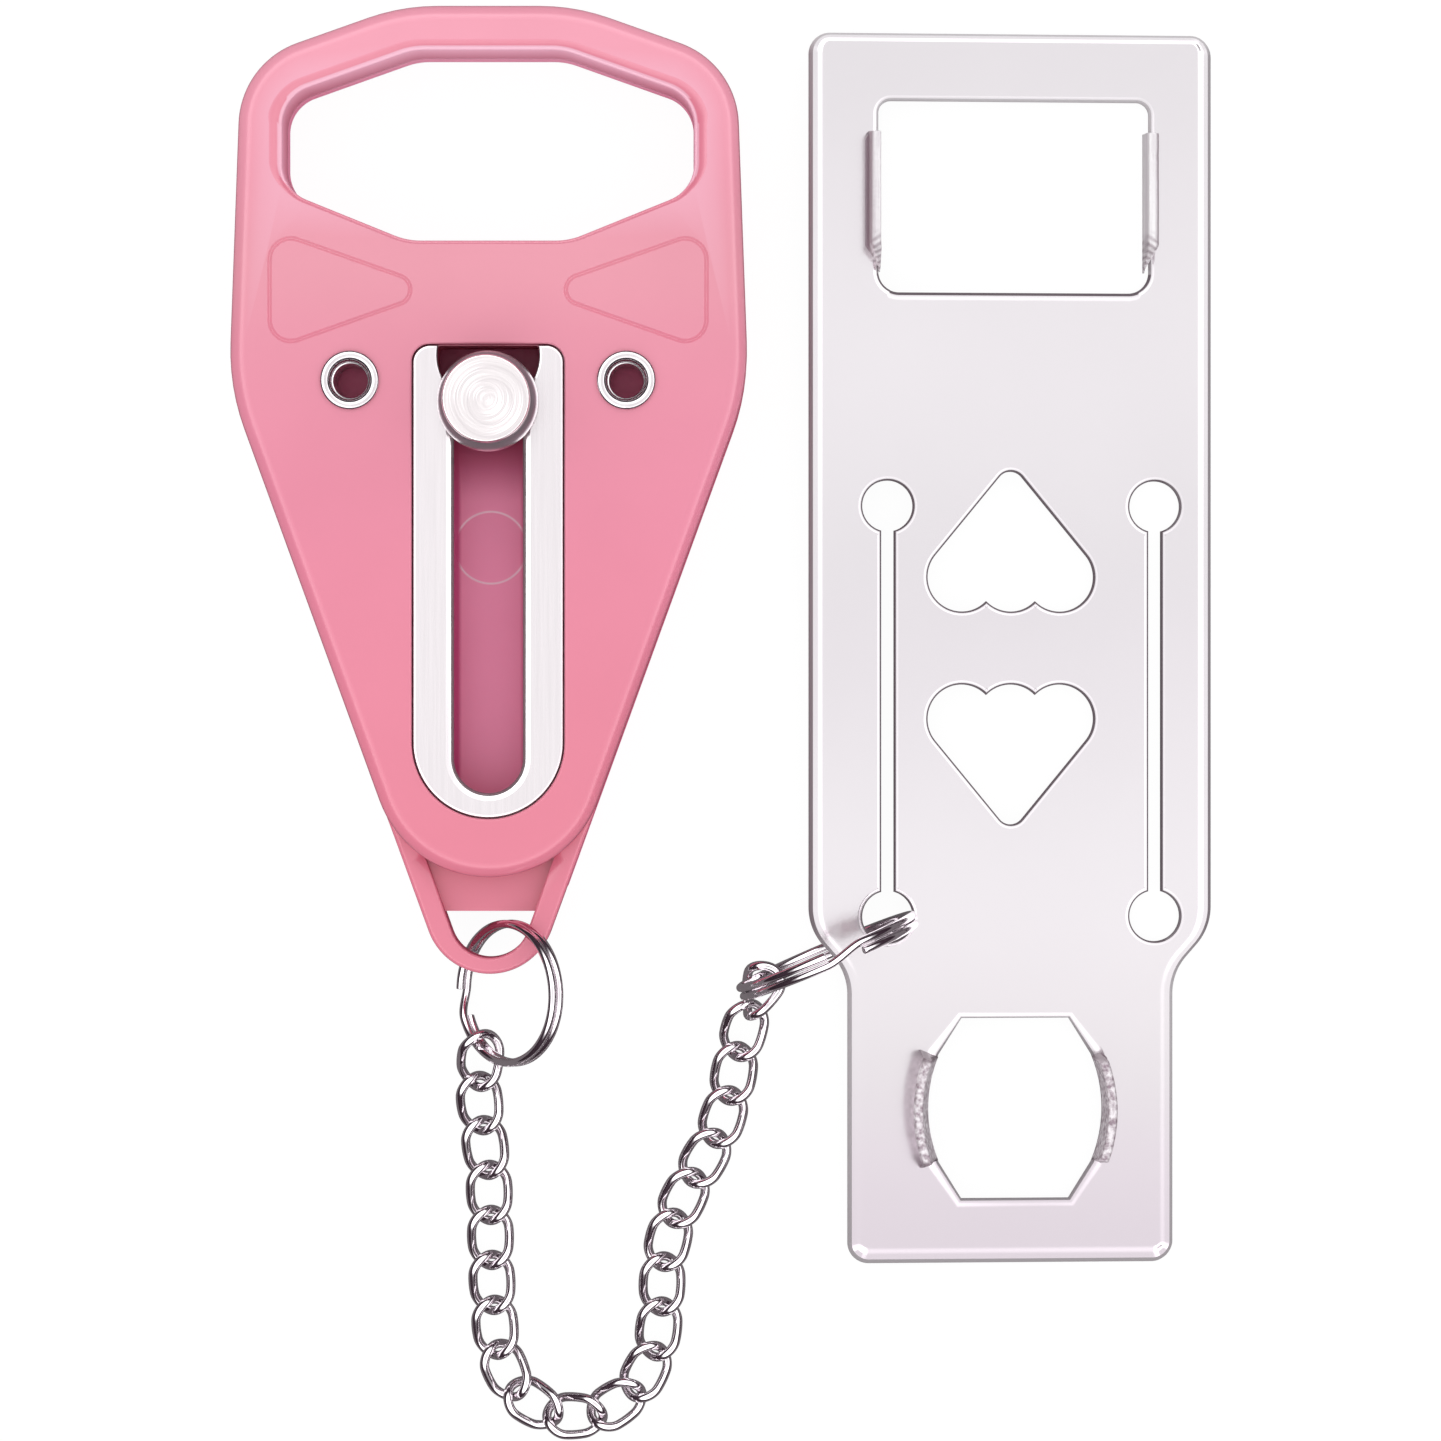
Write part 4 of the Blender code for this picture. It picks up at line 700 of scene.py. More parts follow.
# %% Steel and white plastic
plate_finish = finish(
    "plate steel", ((243, 238, 242), (246, 241, 245)), (0.14, 0.18), 1, masks(mottle, 25, grain, 1500),
    (0.02, 0.00001), painted_light=PLATE_PAINTED_LIGHT,
    # the second mark is painted shade on the cut edges, darkest at the long sides and the slots
    marks=[(steep, EDGE_STEEP, (224, 220, 223)), (shaded_steep, EDGE_STEEP, (104, 90, 98))],
    matt=(steep, EDGE_STEEP, 0.42, 0.15),
)
claw_finish = finish(
    "sheared steel", ((226, 219, 224), (250, 247, 249)), (0.28, 0.44), 0.12,
    # the mark is painted shade down the outer slope, with dark ridges where the foot tore
    masks(brushed, 2600, brushed, 3200), (0.3, 0.00004), marks=[(shade, {}, (142, 124, 134))],
)
torn_finish = finish(
    "torn steel", ((158, 138, 150), (252, 246, 250)), (0.3, 0.55), 0.15,
    # the mark is painted shade down the outer slope, darker at both ends
    masks(mottle, 1700, mottle, 1700), (0.5, 0.00012), marks=[(shade, {}, (112, 92, 102))],
)
track_finish = finish(
    "brushed stainless", ((238, 232, 235), (242, 236, 239)), (0.22, 0.28), 1,
    masks(brushed, 2500, brushed, 6000), (0.04, 0.00001),
    # the mark is painted shade on the bevels' steep sides
    marks=[(steep, BEVEL_STEEP, (140, 128, 133))], matt=(steep, BEVEL_STEEP, 0.35, 0.4),
)
knob_finish = finish(
    "turned steel", ((238, 231, 233), (254, 248, 249)), (0.16, 0.26), 1,
    ((turned_rings, SWIRL), (turned_rings, RINGS)), (0.12, 0.00002),
    # the mark and matt follow painted shade below the face, less of it on the flange's rim
    marks=[(shade, {}, (156, 142, 150))], matt=(shade, {}, 0.25, 0.55),
)
chrome = finish(
    "bright steel wire", ((238, 230, 235), (248, 243, 247)), (0.05, 0.10), 1,
    masks(mottle, 500, grain, 900), (0.01, 0.00001),
)
eyelet_finish = finish(
    "rolled steel", ((226, 220, 223), (238, 233, 236)), (0.14, 0.24), 1,
    masks(mottle, 400, grain, 1500), (0.04, 0.00001),
)
zinc = finish(
    "zinc-plated steel", ((160, 160, 165), (190, 190, 194)), (0.28, 0.42), 1,
    masks(mottle, 700, grain, 2500), (0.1, 0.00001),
)
white_plastic = finish(
    "white plastic", ((222, 222, 218), (234, 234, 230)), (0.4, 0.55), 0,
    masks(mottle, 300, grain, 3000), (0.05, 0.00001),
)
print("materials:", len(bpy.data.materials))

# %% [markdown]
# ## The two shells
#
# On the real lock two injection-moulded shells meet a third of the way up. The front one has a softly
# rounded edge all round, a finger opening, a seat for the slide track, two grooved pads and a thin loop at
# its foot. The side wall runs from the shells' joint up to the front face; at the foot it stops lower down,
# at the loop's rim, and a second rounded wall, the plateau's, carries the front face round.

# %% Body outlines
TAPER = math.radians(20)
WIDEST_DROP = 46.7
HALF_WIDTH = 31.85
APEX = WIDEST_DROP + HALF_WIDTH / math.tan(TAPER)
LENGTH = 118.8
PLATEAU_FOOT = 106.8
THICKNESS = 12.0
SPLIT = 4.1
RIM_TOP = 8.0
LOOP_FLOOR = 6.0
LOOP_UNDERSIDE = 3.6
BACK_END = 108.5
EDGE_ROUND = 1.9
BACK_ROUND = 1.4
RIM_INSET = 2.7
HOLE_TOP = 111.1
HOLE_FOOT = 116.8


def touching_radius(foot, reach=0.0):
    """Radius of the arc that touches both tapering sides, drawn in by a reach, and ends at a foot."""
    apex = APEX - reach / math.sin(TAPER)
    return (apex - foot) / (1 / math.sin(TAPER) - 1)


def foot_arc(foot, reach=0.0):
    """The arc at the foot, from the right side to the left."""
    radius = touching_radius(foot, reach)
    return arc((0, radius - foot), radius, -TAPER, TAPER - math.pi)


def taper_point(drop, reach=0.0):
    """The point of the right tapering side at a drop below the top, as an outline row."""
    x = (APEX - reach / math.sin(TAPER) - drop) * math.tan(TAPER)
    return np.array([[x, -drop, math.cos(TAPER), -math.sin(TAPER)]])


UPPER_CORNERS = [(10.65, 0, 25.6), (30.4, -7, 10.8), (HALF_WIDTH, -WIDEST_DROP, 28)]
body_arcs = corner_arcs(both_sides(UPPER_CORNERS + [(0, -APEX, touching_radius(PLATEAU_FOOT))]))
plateau_arc = foot_arc(PLATEAU_FOOT)
shared = np.vstack([plateau_arc[-1:], *body_arcs[4:], *body_arcs[:3], plateau_arc[:1]])
handle = symmetric([(9.2, -5.6, 8.5), (25.2, -11.3, 4.8), (25.2, -22.7, 4.8), (9.9, -28.9, 8.5)])
print("plateau foot radius:", round(touching_radius(PLATEAU_FOOT), 2))

# %% [markdown]
# At the foot, the plateau's arc meets the rim's inner side at two points. The angle of each is found from how
# far the centre lies from that side, as a share of the arc's radius.

# %% Front shell
plateau_radius = touching_radius(PLATEAU_FOOT)
meet = -TAPER - math.acos((plateau_radius - RIM_INSET) / plateau_radius)
centre = (0, plateau_radius - PLATEAU_FOOT)
plateau_right = arc(centre, plateau_radius, -TAPER, meet)
plateau_floor = arc(centre, plateau_radius, meet, -math.pi - meet)
plateau_left = arc(centre, plateau_radius, -math.pi - meet, TAPER - math.pi)
plateau_chain = np.vstack((plateau_right, plateau_floor[1:], plateau_left[1:]))

right_side = np.vstack([taper_point(d) for d in np.linspace(-plateau_right[0, 1], BACK_END, 8)])
left_side = mirrored(right_side)
foot = foot_arc(LENGTH)
foot_chain = np.vstack((right_side, foot, left_side))
inner_arc = foot_arc(HOLE_FOOT, RIM_INSET)
inner_right = np.vstack((plateau_floor[:1], taper_point(HOLE_TOP, RIM_INSET)))
inner_right[:, 2:] = inner_arc[0, 2:]
inner_left = mirrored(inner_right)
hole_chain = np.vstack((inner_right[-1:], inner_arc, inner_left[:1]))
inner_chain = np.vstack((inner_right, inner_arc, inner_left))


def fade(chain, reach):
    """A weight along a chain that rises smoothly from 0 at both its ends over a reach."""
    along = np.concatenate(([0], np.cumsum(np.linalg.norm(np.diff(chain[:, :2], axis=0), axis=1))))
    t = np.clip(np.minimum(along, along[-1] - along) / reach, 0, 1)
    return t * t * (3 - 2 * t)


SEAM = 0.15
RIM_ROUND = 0.55
INNER_ROUND = 0.4
side_profile = [(SEAM, SPLIT, 0), (0, SPLIT, SEAM), (0, LOOP_FLOOR, 0), (0, RIM_TOP, 0)]
top_edge = round_edge(EDGE_ROUND, THICKNESS)
underside_weight = np.concatenate((np.linspace(1, 0, len(right_side)), np.linspace(0, 1, len(left_side))))
rim_weight = fade(foot_chain, 5.0)
inner_weight = fade(inner_chain, 1.5)
count = len(right_side)
rim_edge = [(0, LOOP_FLOOR, 0)] + round_edge(RIM_ROUND, RIM_TOP)
inner_edge = [(0, LOOP_FLOOR, 0)] + round_edge(INNER_ROUND, RIM_TOP, side=-1)

underside = side_profile[:3]
tail = np.vstack((right_side[-1:], foot, left_side[:1]))
tail_weight = fade(tail, 4.0)
tail_edge = [(0.3, LOOP_UNDERSIDE, 0), (0, LOOP_UNDERSIDE, 0.3), (0, SPLIT, 0)]
loop_wall = [(0, LOOP_UNDERSIDE, 0), (0, LOOP_FLOOR, 0)]
front = [
    strip(shared, side_profile + top_edge),
    strip(foot_chain[:count], underside, underside_weight[:count]),
    strip(foot_chain[-count:], underside, underside_weight[count:]),
    strip(foot_chain, rim_edge, rim_weight),
    strip(plateau_chain, [(0, RIM_TOP, 0)] + top_edge),
    strip(plateau_floor, [(0, LOOP_FLOOR, 0), (0, RIM_TOP, 0)]),
    strip(inner_chain, inner_edge, inner_weight),
    strip(tail, tail_edge, tail_weight),
    strip(tail, [(0, SPLIT, 0), (0, LOOP_FLOOR, 0)]),
    strip(hole_chain, loop_wall),
    strip(hole_chain[[0, -1]], loop_wall),
    strip(tail[[0, -1]], [(0, LOOP_UNDERSIDE, 0), (0, SPLIT, 0)]),
]
rim_loop = [
    edge_of(foot_chain, rim_edge[-1], rim_weight)[:, :2],
    plateau_left[::-1][1:, :2],
    edge_of(inner_chain, inner_edge[-1], inner_weight)[::-1][1:, :2],
    plateau_right[::-1][1:-1, :2],
]
front.append(cap([np.vstack(rim_loop)], RIM_TOP))
front.append(cap([np.vstack((plateau_floor, hole_chain[[-1, 0]]))], LOOP_FLOOR))
front.append(cap([edge_of(tail, tail_edge[0], tail_weight), hole_chain], LOOP_UNDERSIDE))
print("patches so far:", len(front))

# %% [markdown]
# The pads' grooves dip like one wave of a cosine, which has no hard edge. The finger opening's front edge is
# a small round, and then a slope that rises to the face over a reach that differs from point to point.

# %% Front face
TRACK_TOP = 41.7
TRACK_LENGTH = 57.8
TRACK_HALF = 9.2
SEAT_GAP = 0.15
SEAT_LEVEL = 10.3
CHANNEL_HALF = 6.3
SLOT_HALF = 4.225
SLOT_FOOT = TRACK_TOP + TRACK_LENGTH - 3.0 - SLOT_HALF
LIP_ROUND = 0.3
LIP_FALL = 0.36
GROOVE_HALF = 0.36
GROOVE_DEPTH = 0.3
seat_half = TRACK_HALF + SEAT_GAP
seat_foot = -TRACK_TOP - TRACK_LENGTH - SEAT_GAP
full_round = 0.001
seat = symmetric([(seat_half, SEAT_GAP - TRACK_TOP, 2.25), (seat_half, seat_foot, seat_half - full_round)])
channel_foot = (CHANNEL_HALF, -SLOT_FOOT - CHANNEL_HALF, CHANNEL_HALF - full_round)
channel = symmetric([(CHANNEL_HALF, 0.05 - TRACK_TOP, 0.6), channel_foot])
pads = [
    rounded([(side * 26.7, -27.6, 2.6), (side * 5.9, -34.95, 1.8), (side * 26.7, -42.3, 2.6)][::-side])
    for side in (-1, 1)
]
EYELETS = [(-16.9, -46.0), (16.9, -46.0)]
BORE_RADIUS = 2.88
bores = [circle(x, y, BORE_RADIUS) for x, y in EYELETS]
seat_edge = [(0, SEAT_LEVEL, 0)] + round_edge(0.3, THICKNESS, side=-1, steps=4)
lip_reach = 0.5 + 0.85 * np.clip((handle[:, 3] + 0.6) / 0.8, 0, 1) + 0.45 * handle[:, 2] ** 2
lip_top = THICKNESS - LIP_FALL * lip_reach


def lip_row(out, level):
    """The handle's outline let out by a distance at each point, at a level at each point."""
    flat = handle[:, :2] + handle[:, 2:] * np.reshape(out, (-1, 1))
    return np.column_stack((flat, np.broadcast_to(level, len(handle))))


LIP_SEAM = 0.05
lip_rows = [lip_row(LIP_SEAM, SPLIT), lip_row(0, SPLIT + LIP_SEAM)]
for a in np.linspace(0, math.pi / 2, 6):
    lip_rows.append(lip_row(LIP_ROUND * (1 - math.cos(a)), lip_top - LIP_ROUND * (1 - math.sin(a))))
for t in (0.05, 0.15, 0.3, 0.5, 0.7, 0.85, 0.95, 1.0):
    level = THICKNESS - LIP_FALL * lip_reach * (1 - t) ** 1.4
    lip_rows.append(lip_row(LIP_ROUND + (lip_reach - LIP_ROUND) * t, level))
lip_rows.append(lip_row(lip_reach + HOLD, THICKNESS))
across = np.linspace(-1, 1, 13)
dip = [(GROOVE_HALF * u, THICKNESS, -GROOVE_DEPTH * (1 + math.cos(math.pi * u)) / 2) for u in across]
groove = [(-GROOVE_HALF - HOLD, THICKNESS, 0)] + dip + [(GROOVE_HALF + HOLD, THICKNESS, 0)]

front.append(grid(np.stack(lip_rows), close_columns=True))
front += [wall(seat, seat_edge), wall(channel, [(0, SPLIT, 0), (0, SEAT_LEVEL, 0)])]
front += [wall(bore, [(0, SPLIT, 0), (0, THICKNESS, 0)]) for bore in bores]
front += [wall(pad, groove) for pad in pads]
front += [cap([inset(pad, GROOVE_HALF + HOLD)], THICKNESS) for pad in pads]
face_outline = np.vstack((shared, plateau_chain[1:-1]))
face_holes = [lip_rows[-1], inset(seat, seat_edge[-1][0]), *bores]
face_holes += [inset(pad, -GROOVE_HALF - HOLD) for pad in pads]
front.append(cap([inset(face_outline, top_edge[-1][0]), *face_holes], THICKNESS))
front.append(cap([seat, channel], SEAT_LEVEL))
under_loop = [
    edge_of(shared, side_profile[0]),
    edge_of(right_side, side_profile[0], underside_weight[:count])[1:],
    edge_of(left_side, side_profile[0], underside_weight[count:])[:-1],
]
front.append(cap([np.vstack(under_loop), inset(handle, -LIP_SEAM), channel, *bores], SPLIT))
print("patches of the front shell:", len(front))

# %% [markdown]
# Shade in the slope round the finger opening and light on its inner wall are painted into the colour. The
# shell carries them on its own points, as vertex paint would, but by a formula of the distance to the opening.

# %% Painted shade and light of the finger opening
NEAR_HANDLE = (29.0, -32.5)
FAR_AWAY = 99.0
CREASE_FROM = 22.0


def outside_handle(places):
    """Distance from each point to the handle's outline, also as a share of the slope's reach there."""
    steps = np.linspace(0, 1, 12, endpoint=False)[:, None, None]
    rows = np.column_stack((handle[:, :2], lip_reach))
    ring = (rows * (1 - steps) + np.roll(rows, -1, axis=0) * steps).reshape(-1, 3)
    near = (abs(places[:, 0]) < NEAR_HANDLE[0]) & (places[:, 1] > NEAR_HANDLE[1])
    away, share = np.full((2, len(places)), FAR_AWAY)
    gaps = np.linalg.norm(places[near, None, :2] - ring[None, :, :2], axis=2)
    away[near] = gaps.min(axis=1)
    share[near] = away[near] / ring[gaps.argmin(axis=1), 2]
    return away, share


def lip_shade(places):
    """Painted shade down the slope to the opening, and less of it along the opening's foot."""
    _, share = outside_handle(places)
    band = np.interp(share, [0.12, 0.3, 0.8, 1.0], [0, 1.0, 0.75, 0.0])
    return band * (places[:, 2] > THICKNESS - 1.2) * np.clip((places[:, 1] + 30) / 8, 0.35, 1)


def wall_and_crease_highlight(places):
    """Painted light on the opening's wall, less low down and at its ends; painted highlight on the crease by
    the slope.
    """
    away, share = outside_handle(places)
    on_wall = (away < 0.5) & (places[:, 2] < THICKNESS - LIP_FALL)
    crease = np.interp(share, [0.97, 1.03, 1.06], [0, 0.4, 0.3])
    crease *= (share < 1.1) & (abs(places[:, 0]) > CREASE_FROM)
    ends = np.interp(places[:, 1], [-30, -21, -12, -7], [1.0, 0.75, 0.75, 1.0])
    return np.where(on_wall, ends * np.interp(places[:, 2], [4.5, 8.5], [0.5, 1.0]), crease)


values = {"shade": lip_shade, "inner_wall": wall_and_crease_highlight}
piece("shell_front", front, pink, "case", LOCK, "pink_plastic", ["front_shell"], **values)

# %% [markdown]
# The back shell closes the case from behind. It ends square above the loop, its opening is a little smaller
# than the front's, and its inner face is the floor of the channel, where an ejector pin left a round mark.

# %% Back shell
BACK_TOP = 4.0
BACK_TAIL = 108.35
HANDLE_STEP = 0.12
CASE_SCREWS = [(side * x, y) for x, y in ((28.1, -17.5), (24.5, -51.5), (16, -67.5)) for side in (-1, 1)]
CASE_SCREWS.append((0, -103.3))
TRACK_SCREWS = [(side * 7.65, y) for y in (-47.5, -83.8) for side in (-1, 1)]
SINK_RADIUS = 1.75
SHANK_RADIUS = 1.05
tail_half = (APEX - BACK_TAIL) * math.tan(TAPER)
back_outline = symmetric(UPPER_CORNERS + [(tail_half, -BACK_TAIL, 0.5)])
back_handle = inset(handle, HANDLE_STEP)
back_profile = round_edge(BACK_ROUND, 0, way=-1)[::-1] + [(0, BACK_TOP, -SEAM), (SEAM, BACK_TOP, 0)]
back_weight = np.clip((BACK_TAIL + back_outline[:, 1]) / 6, 0.25, 1)
back_handle_profile = [(-x, level, up) for x, level, up in back_profile[:-2]]
back_handle_profile += round_edge(0.35, BACK_TOP, side=-1, steps=4)
screw_spots = CASE_SCREWS + TRACK_SCREWS
sinks = [circle(x, y, SINK_RADIUS, 32) for x, y in screw_spots]
SOFT = 0.12
sink_step = SINK_RADIUS - SHANK_RADIUS
sink_profile = [(-SOFT, 0, 0), (0, 0, SOFT), (0, 0, 0.35), (sink_step, 0, 1.45), (sink_step, BACK_TOP, 0)]
mark = circle(0, -MARK_DROP, MARK_RADIUS)
mark_profile = [(x, BACK_TOP, up) for x, up in ((-SOFT, 0), (-0.04, -0.01), (0, -0.05), (SOFT, -0.05))]
back = [
    wall(back_outline, back_profile, back_weight),
    wall(back_handle, back_handle_profile),
    wall(mark, mark_profile),
    cap([inset(mark, SOFT)], BACK_TOP + mark_profile[-1][2]),
]
back += [wall(sink, sink_profile) for sink in sinks]
for row, level, step, marks in ((0, 0, -SOFT, []), (-1, BACK_TOP, sink_step, [inset(mark, -SOFT)])):
    outer = edge_of(back_outline, back_profile[row], back_weight)
    holes = [inset(back_handle, back_handle_profile[row][0]), *marks, *[inset(sink, step) for sink in sinks]]
    back.append(cap([outer, *holes], level))
piece("shell_back", back, pink_back, "case", LOCK, "pink_plastic", ["back_shell"], inner_wall=wall_and_crease_highlight)

# %% [markdown]
# ## Slide track, eyelets, slider and knob
#
# The track is a stamped U of stainless strip with eased edges, ground along its length. Everything round is
# turned: a profile carried about a vertical axis.

# %% Slide track
PORT_RADIUS = 6.25
PORT_DROP = 1.2
TRACK_LOW = 10.4
TRACK_HIGH = 11.7
port = (0, -TRACK_TOP - PORT_DROP)
neck = -math.acos(SLOT_HALF / PORT_RADIUS)
TRACK_CORNER = 2.1
right = [
    arc((0, TRACK_HALF - TRACK_TOP - TRACK_LENGTH), TRACK_HALF, -math.pi / 2, 0)[1:],
    arc((TRACK_HALF - TRACK_CORNER, -TRACK_TOP - TRACK_CORNER), TRACK_CORNER, 0, math.pi / 2),
    arc(port, PORT_RADIUS, math.asin(PORT_DROP / PORT_RADIUS), neck),
    arc((0, -SLOT_FOOT), SLOT_HALF, 0, -math.pi / 2)[:-1],
]
right = np.vstack(right)[:, :2]
foot_top, foot_low = [[0, -SLOT_FOOT - SLOT_HALF]], [[0, -TRACK_TOP - TRACK_LENGTH]]
track_outline = mitred(np.vstack((right, foot_top, mirrored(right), foot_low))[::-1])
BEVEL_ROUND = 0.5
BEVEL_WIDTH = 0.95
BEVEL_DEPTH = 0.14
BEVEL_STEEPER = 1.7
BEVEL_OUTER_SHARE = 0.34
track_x, track_y = track_outline[:, :2].T
slot_side = (abs(track_x) < SLOT_HALF + 0.05) & (track_y > -SLOT_FOOT - SLOT_HALF - 1)
bevel = np.where(slot_side, 1.0, BEVEL_OUTER_SHARE)
rows = round_edge(BEVEL_ROUND, 0, steps=8)[:-1]
bevel_rows = [(x, TRACK_HIGH, up * BEVEL_STEEPER - BEVEL_DEPTH) for x, _, up in rows]
bevel_rows += [(BEVEL_WIDTH + x, TRACK_HIGH, up) for x, up in ((-HOLD, -0.004), (0, 0), (HOLD, 0))]
track_profile = round_edge(0.15, TRACK_LOW, way=-1, steps=3)[::-1] + bevel_rows
track = [
    wall(track_outline, track_profile, bevel),
    cap([edge_of(track_outline, track_profile[0], bevel)], TRACK_LOW),
    cap([edge_of(track_outline, track_profile[-1], bevel)], TRACK_HIGH),
]
piece("track", track, track_finish, "case", LOCK, "stainless_steel", ["slide_track"])

# %% Eyelets
rolled = [(3.5, 12.1), (3.63, 12.2), (3.6, 12.34), (3.42, 12.5), (3.1, 12.56), (2.75, 12.5), (2.5, 12.3)]
inside = [(2.36, 11.9), (2.34, 10.6), (2.12, 10.5), (2.1, 10.1)]
barrel = [(2.1, 4.3), (2.73, 4.3), (2.73, 12.1), (3.5, 12.1)]
profile = softened(rolled + inside + barrel, 0.07)
for label, (x, y) in zip(("left", "right"), EYELETS):
    ring = [lathe(profile, x, y)]
    piece(f"eyelet_ring_{label}", ring, eyelet_finish, "case", LOCK, "stainless_steel", [f"eyelet_{label}"])

# %% Slider, glide ring and washer
at_knob = (0, -KNOB_DROP)
stud = [(0, 16.1), (2, 16.1), (2, 11.8), (4, 11.8), (4, 8.3), (5.8, 8.3), (5.8, 6.3), (0, 6.3)]
stud = [lathe(softened(stud, 0.2), *at_knob)]
piece("slider_body", stud, eyelet_finish, "slider", LOCK, "stainless_steel", ["slider"])
RING_OUTER = 5.6
RINGS_OF_PLASTIC = (("glide", "glide_ring", 4.2, 8.4, 10.3), ("washer", "knob_washer", 2.2, 11.9, 12.3))
for name, node, bore, low, high in RINGS_OF_PLASTIC:
    section = [(bore, low), (RING_OUTER, low), (RING_OUTER, high), (bore, high), (bore, low)]
    ring = [lathe(softened(section, 0.08), *at_knob)]
    piece(name, ring, white_plastic, "slider", LOCK, "white_plastic", [node])

# %% [markdown]
# The knob's face is a polar grid. Its rings are a sum of three waves of the distance from the middle, deep
# on two opposite sides and worn nearly flat between them, round a shallow bowl.

# %% Knob
KNOB_FACE = 18.18
FACE_EDGE = 5.08
KNOB_SIDES = 128
turning = np.linspace(0.0, FACE_EDGE, 110)[:, None]
around = full_turn(KNOB_SIDES)[None]
groove_wave = sum(
    depth * np.cos(2 * math.pi * turning / pitch + phase)
    for depth, pitch, phase in ((0.013, 0.47, 0.3), (0.009, 0.29, 1.9), (0.009, 0.83, 4.0))
)
groove_wave = groove_wave * np.clip(turning / 0.6, 0, 1) * np.clip((FACE_EDGE - turning) / 0.5, 0, 1)
worn = 0.22 + 0.78 * np.cos(around - math.radians(140)) ** 4
bowl = -0.06 / (1 + np.exp((turning - 1.9) / 0.22))
face_level = KNOB_FACE + groove_wave * worn + bowl
face = (turning * np.cos(around), turning * np.sin(around) - KNOB_DROP, face_level)
head = [(FACE_EDGE, KNOB_FACE), (5.24, 18.14), (5.35, 17.9), (5.35, 15.0), (4.6, 15.0), (4.6, 14.6)]
flange = [(5.3, 14.3), (5.85, 13.7), (6.15, 13.0), (6.2, 12.7), (6.0, 12.4)]
socket = [(2.2, 12.4), (2.2, 16.4), (0, 16.4)]
rest = lathe(softened(head + flange + socket, 0.18), *at_knob, steps=KNOB_SIDES)


def flange_shade(places):
    """Painted shade below the face, little of it on the flange's rim, which stays bright."""
    away = np.hypot(places[:, 0], places[:, 1] + KNOB_DROP)
    return np.interp(places[:, 2], [17.5, 18.0], [1, 0]) * np.interp(away, [5.95, 6.1], [1, 0.15])


knob = [grid(np.dstack(face), close_columns=True), rest]
piece("knob", knob, knob_finish, "thumb_knob", LOCK, "bright_steel", ["thumb_knob"], shade=flange_shade)

# %% [markdown]
# ## Screws
#
# Countersunk screws with a cross recess. The head's face is a polar grid, and the recess is a depth that
# depends on how near a point is to either arm of the cross.

# %% Screws
HEAD_RADIUS = 1.6
HEAD_SINK = 0.2
HEAD_CROWN = 0.08
ARM_HALF, ARM_LENGTH = 0.16, 0.95
SCREW_SIDES = 64


def screw(x, y, reach):
    """A screw, head down: polar grid for the face, turned profile for the cone and shank."""
    radii = np.linspace(0, HEAD_RADIUS, 15)[:, None]
    angles = full_turn(SCREW_SIDES)[None]
    across, along = radii * np.cos(angles), radii * np.sin(angles)
    wide, tall = abs(across), abs(along)
    arms = [np.maximum(a / ARM_HALF, b / ARM_LENGTH) for a, b in ((wide, tall), (tall, wide))]
    depth = 0.5 * np.clip(1.25 - np.minimum(*arms), 0, 1) * np.clip(1.1 - radii / 1.3, 0, 1)
    crown = HEAD_CROWN * (1 - (radii / HEAD_RADIUS) ** 2)
    level = HEAD_SINK + HEAD_CROWN
    face = np.dstack((x + across, y + along, level - crown + depth))
    outer = [(HEAD_RADIUS, level), (0.95, 1.3), (0.9, 1.4), (0.9, reach - 0.8), (0.45, reach), (0, reach)]
    return [grid(face, close_columns=True), lathe(outer, x, y, SCREW_SIDES)]


for kind, spots, reach in (("case", CASE_SCREWS, 9.5), ("track", TRACK_SCREWS, 11.2)):
    for i, (x, y) in enumerate(spots, 1):
        node = f"{kind}_screw_{i}"
        piece(f"screw_{kind}_{i}", screw(x, y, reach), zinc, "case", LOCK, "zinc_plated_steel", [node])

# %% [markdown]
# ## Split rings and chain
#
# A split ring is two flat turns of one wire, with a short step over beside its ends. A curb link is an oval
# of wire whose two ends are twisted apart, so that a chain of them lies flat. The CAD links say where each
# one lies: the three main directions of a link's own surface are its length, width and thickness, and a
# twisted link looks the same after half a turn about any of them.

# %% Split rings
WIRE = 1.0
TURN_GAP = 0.12
LINK_WIRE = 1.16
END_BEVEL = 0.08
END_GAP = math.radians(11.4)
STEP_SWEEP = math.radians(28)


def split_ring(diameter, end_degrees):
    """Two turns of wire: the height goes from one turn to the other by a smooth step beside the ends."""
    radius = (diameter - WIRE) / 2
    turn = np.linspace(END_GAP, 4 * math.pi - END_GAP, 360)
    t = np.clip((turn - 2 * math.pi) / STEP_SWEEP + 0.5, 0, 1)
    side = (WIRE + TURN_GAP) / 2 * (2 * t * t * (3 - 2 * t) - 1)
    path = np.column_stack((radius * units(turn + math.radians(end_degrees)), side))
    ends = np.concatenate(([path[0]] * 3, path[1:-1], [path[-1]] * 3))
    ends[1:3] += (path[1] - path[0]) * [[0.001], [0.2]]
    ends[-3:-1] += (path[-2] - path[-1]) * [[0.2], [0.001]]
    radii = np.full(len(ends), WIRE / 2)
    radii[[0, -1]] = 0.0
    radii[[1, -2]] = WIRE / 2 - END_BEVEL
    return tube(ends, radii, closed=False)


small, large = [split_ring(18.1, 190)], [split_ring(23.8, 80)]
piece("split_ring_small", small, chrome, "ring_a", RING_A, "bright_steel", ["ring_a"], sharp=50)
piece("split_ring_large", large, chrome, "ring_b", RING_B, "bright_steel", ["ring_b"], sharp=50)

# %% Curb links
LINK_LENGTH = 8.0
LINK_WIDTH = 5.7
LINK_TWIST = math.radians(42)
BEND_STEPS, SIDE_STEPS = 42, 6


